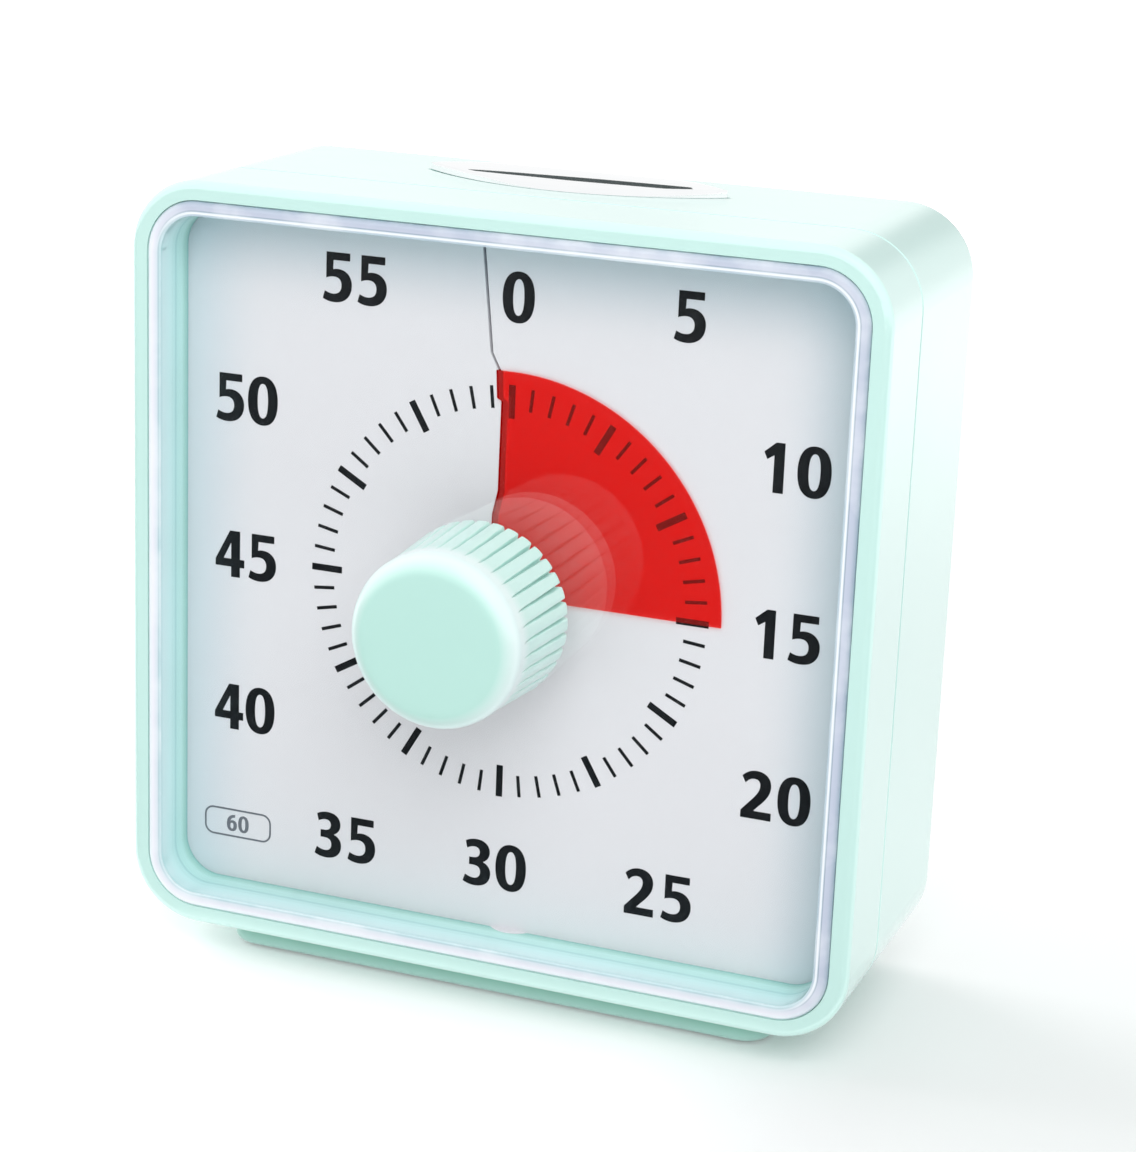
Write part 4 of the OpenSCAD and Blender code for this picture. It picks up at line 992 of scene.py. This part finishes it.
class TIMER_OT_lens(bpy.types.Operator):
    """Make the clear tray: its flat front with the hole for the shaft, and its side wall seen end-on"""

    bl_idname = "timer.lens"
    bl_label = "Lens"

    def execute(self, context):
        clear = clear_styrene()
        half, radius, wall, hole = 47.5, 6.9, 1.9, 3.6
        ring = outline(half - wall, radius - wall)
        angles = [math.atan2(z, x) for x, z in ring]
        circle = [(hole * math.cos(a), hole * math.sin(a)) for a in angles]
        front = mesh_piece("lens_front", *washer(circle, ring, LENS_FACE, LENS_UNDER), clear, 30)
        carried(front, "housing")
        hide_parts("lens")

        # Wall: a profile of (inset from the outside, level) swept round the rounded square
        profile = [(0.0, DIAL_FACE), (0.0, 19.8), (0.1, 20.0), (0.3, 20.16), (0.6, LENS_FACE), (0.9, LENS_FACE),
                   (1.2, LENS_FACE), (1.5, 20.19), (1.75, 20.12), (wall, 20.0), (wall, LENS_UNDER), (wall, 15.5),
                   (wall, 13.8), (wall, 13.3), (wall, DIAL_FACE)]
        points = [at(x, z, level) for inset, level in profile for x, z in outline(half - inset, radius - inset)]
        tray = mesh_piece("lens_wall", points, skin(len(profile), len(ring), looped=True), clear, 35)
        tray.data.materials.append(styrene_end())
        tray.data.materials.append(styrene_side())
        values = {"across": [], "painted_far_side": [], "rise": []}
        corner = half - radius
        for v in tray.data.vertices:
            x, z, level = drawn(v.co)
            beyond = (max(0.0, abs(x) - corner), max(0.0, abs(z) - corner))
            depth = radius - math.hypot(*beyond) if min(beyond) > 0 else half - max(abs(x), abs(z))
            values["across"].append(held(depth / wall))
            # Which side of the tray a point faces, for the painted shade of the upper right
            way = Vector((math.copysign(beyond[0], x), math.copysign(beyond[1], z)))
            way = way.normalized() if way.length > 1e-6 else Vector((0, 0))
            values["painted_far_side"].append(held(0.5 + 0.6 * (way.x + way.y)))
            values["rise"].append((level - DIAL_FACE) / (LENS_FACE - DIAL_FACE))
        for name, numbers in values.items():
            point_values(tray, name, numbers)
        for face in tray.data.polygons:
            x, z, level = drawn(face.center)
            if level > 19.75 and face.normal.y < -0.3:
                face.material_index = 1
            elif x * face.normal.x + z * face.normal.z < 0 and abs(face.normal.y) < 0.3:
                face.material_index = 2
        carried(tray, "housing")
        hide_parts("lens")
        return {"FINISHED"}


class TIMER_OT_studio(bpy.types.Operator):
    """Set the camera, the pale floor, the soft lamps and the room"""

    bl_idname = "timer.studio"
    bl_label = "Studio"

    def execute(self, context):
        scene, studio = context.scene, context.scene.timer_studio
        ahead, right = Vector(studio.ahead).normalized(), Vector(studio.right).normalized()
        eye = bpy.data.cameras.new("camera")
        eye.lens, eye.sensor_width = studio.lens, 36
        eye.clip_start, eye.clip_end = 0.01, 30
        camera = bpy.data.objects.new("camera", eye)
        turn = Matrix((right, right.cross(ahead), -ahead)).transposed()
        camera.matrix_world = Matrix.Translation(Vector(studio.place)) @ turn.to_4x4()
        scene.collection.objects.link(camera)
        scene.camera = camera

        reach = 6.0
        corners = [(-reach, -reach, 0), (reach, -reach, 0), (reach, reach, 0), (-reach, reach, 0)]
        ground = mesh_piece("floor", corners, [(0, 1, 2, 3)], paper_floor())
        # Cloths round the tent that only mirrors see: velvet in front keeps the lens clear of glare, felt high
        # behind draws the chrome's dark line, and the net greys the case's upper right corner
        velvet = shader("black_velvet", "BsdfDiffuse", {"Color": VELVET})[0]
        felt = shader("grey_felt", "BsdfDiffuse", {"Color": "#4E5454"})[0]
        high = ((-0.371, 0.348), (-0.331, 0.330), (-0.299, 0.306), (-0.266, 0.296), (-0.249, 0.290),
                (-0.250, 0.362), (-0.272, 0.376), (-0.308, 0.390), (-0.324, 0.395), (-0.355, 0.388),
                (-0.373, 0.371))
        front = ((-2.5, -0.03), (1.2, -0.03), (1.2, -1.6), (-2.5, -1.6))
        behind = ((-0.11, 0.10), (0.31, 0.10), (0.31, 0.60), (-0.11, 0.60))
        for name, corners, cloth in (
            ("flag_front", [(x, y, MM) for x, y in front], velvet),
            ("flag_high", [(x, 0.80, z) for x, z in high], felt),
            ("net", [(x, 0.85, z) for x, z in behind], grey_net()),
        ):
            flag = mesh_piece(name, corners, [tuple(range(len(corners)))], cloth)
            flag.visible_camera = flag.visible_diffuse = False
            flag.visible_shadow = flag.visible_transmission = False

        for name, stand, power in (("key", (-0.80, 0.15, 0.60), studio.key),
                                   ("front", (0.42, -0.85, 0.80), studio.front)):
            lamp = bpy.data.lights.new(name, "AREA")
            lamp.size = 0.9
            lamp.energy = power
            holder = bpy.data.objects.new(name, lamp)
            # Both stand behind the tent's cloth, so no mirror shows their outline
            holder.visible_glossy = False
            towards = Vector((0, 0, 0.05)) - Vector(stand)
            holder.matrix_world = Matrix.Translation(stand) @ towards.to_track_quat("-Z", "Y").to_matrix().to_4x4()
            scene.collection.objects.link(holder)
        scene.world = white_tent()
        scene.view_settings.view_transform = "Standard"
        return {"FINISHED"}


class TIMER_PT_panel(bpy.types.Panel):
    bl_label = "Countdown timer"
    bl_idname = "TIMER_PT_panel"
    bl_space_type = "VIEW_3D"
    bl_region_type = "UI"
    bl_category = "Timer"

    def draw(self, context):
        for label, group, settings, steps in PARTS:
            box = self.layout.box()
            box.label(text=label)
            for step in steps:
                box.operator(step.bl_idname)
            for name in settings.__annotations__:
                box.prop(getattr(context.scene, group), name)


PARTS = (
    ("Case and works", "timer_case", TimerCase, (TIMER_OT_mouldings, TIMER_OT_works)),
    ("Knob", "timer_knob", TimerKnob, (TIMER_OT_knob,)),
    ("Button", "timer_button", TimerButton, (TIMER_OT_button,)),
    ("Dial", "timer_dial", TimerDial, (TIMER_OT_print, TIMER_OT_lens)),
    ("Red sheet", "timer_sheet", TimerSheet, (TIMER_OT_sheet,)),
    ("Studio", "timer_studio", TimerStudio, (TIMER_OT_studio,)),
)
CLASSES = (*(kind for _, _, settings, steps in PARTS for kind in (settings, *steps)), TIMER_PT_panel)


def register():
    for kind in CLASSES:
        bpy.utils.register_class(kind)
    for _, group, settings, _ in PARTS:
        setattr(bpy.types.Scene, group, bpy.props.PointerProperty(type=settings))


def unregister():
    for _, group, _, _ in PARTS:
        delattr(bpy.types.Scene, group)
    for kind in reversed(CLASSES):
        bpy.utils.unregister_class(kind)


def main():
    register()
    bpy.ops.timer.studio()
    bpy.ops.timer.mouldings()
    bpy.ops.timer.knob()
    bpy.ops.timer.button()
    bpy.ops.timer.works()
    bpy.ops.timer.print()
    bpy.ops.timer.sheet()
    bpy.ops.timer.lens()


if __name__ == "__main__":
    main()
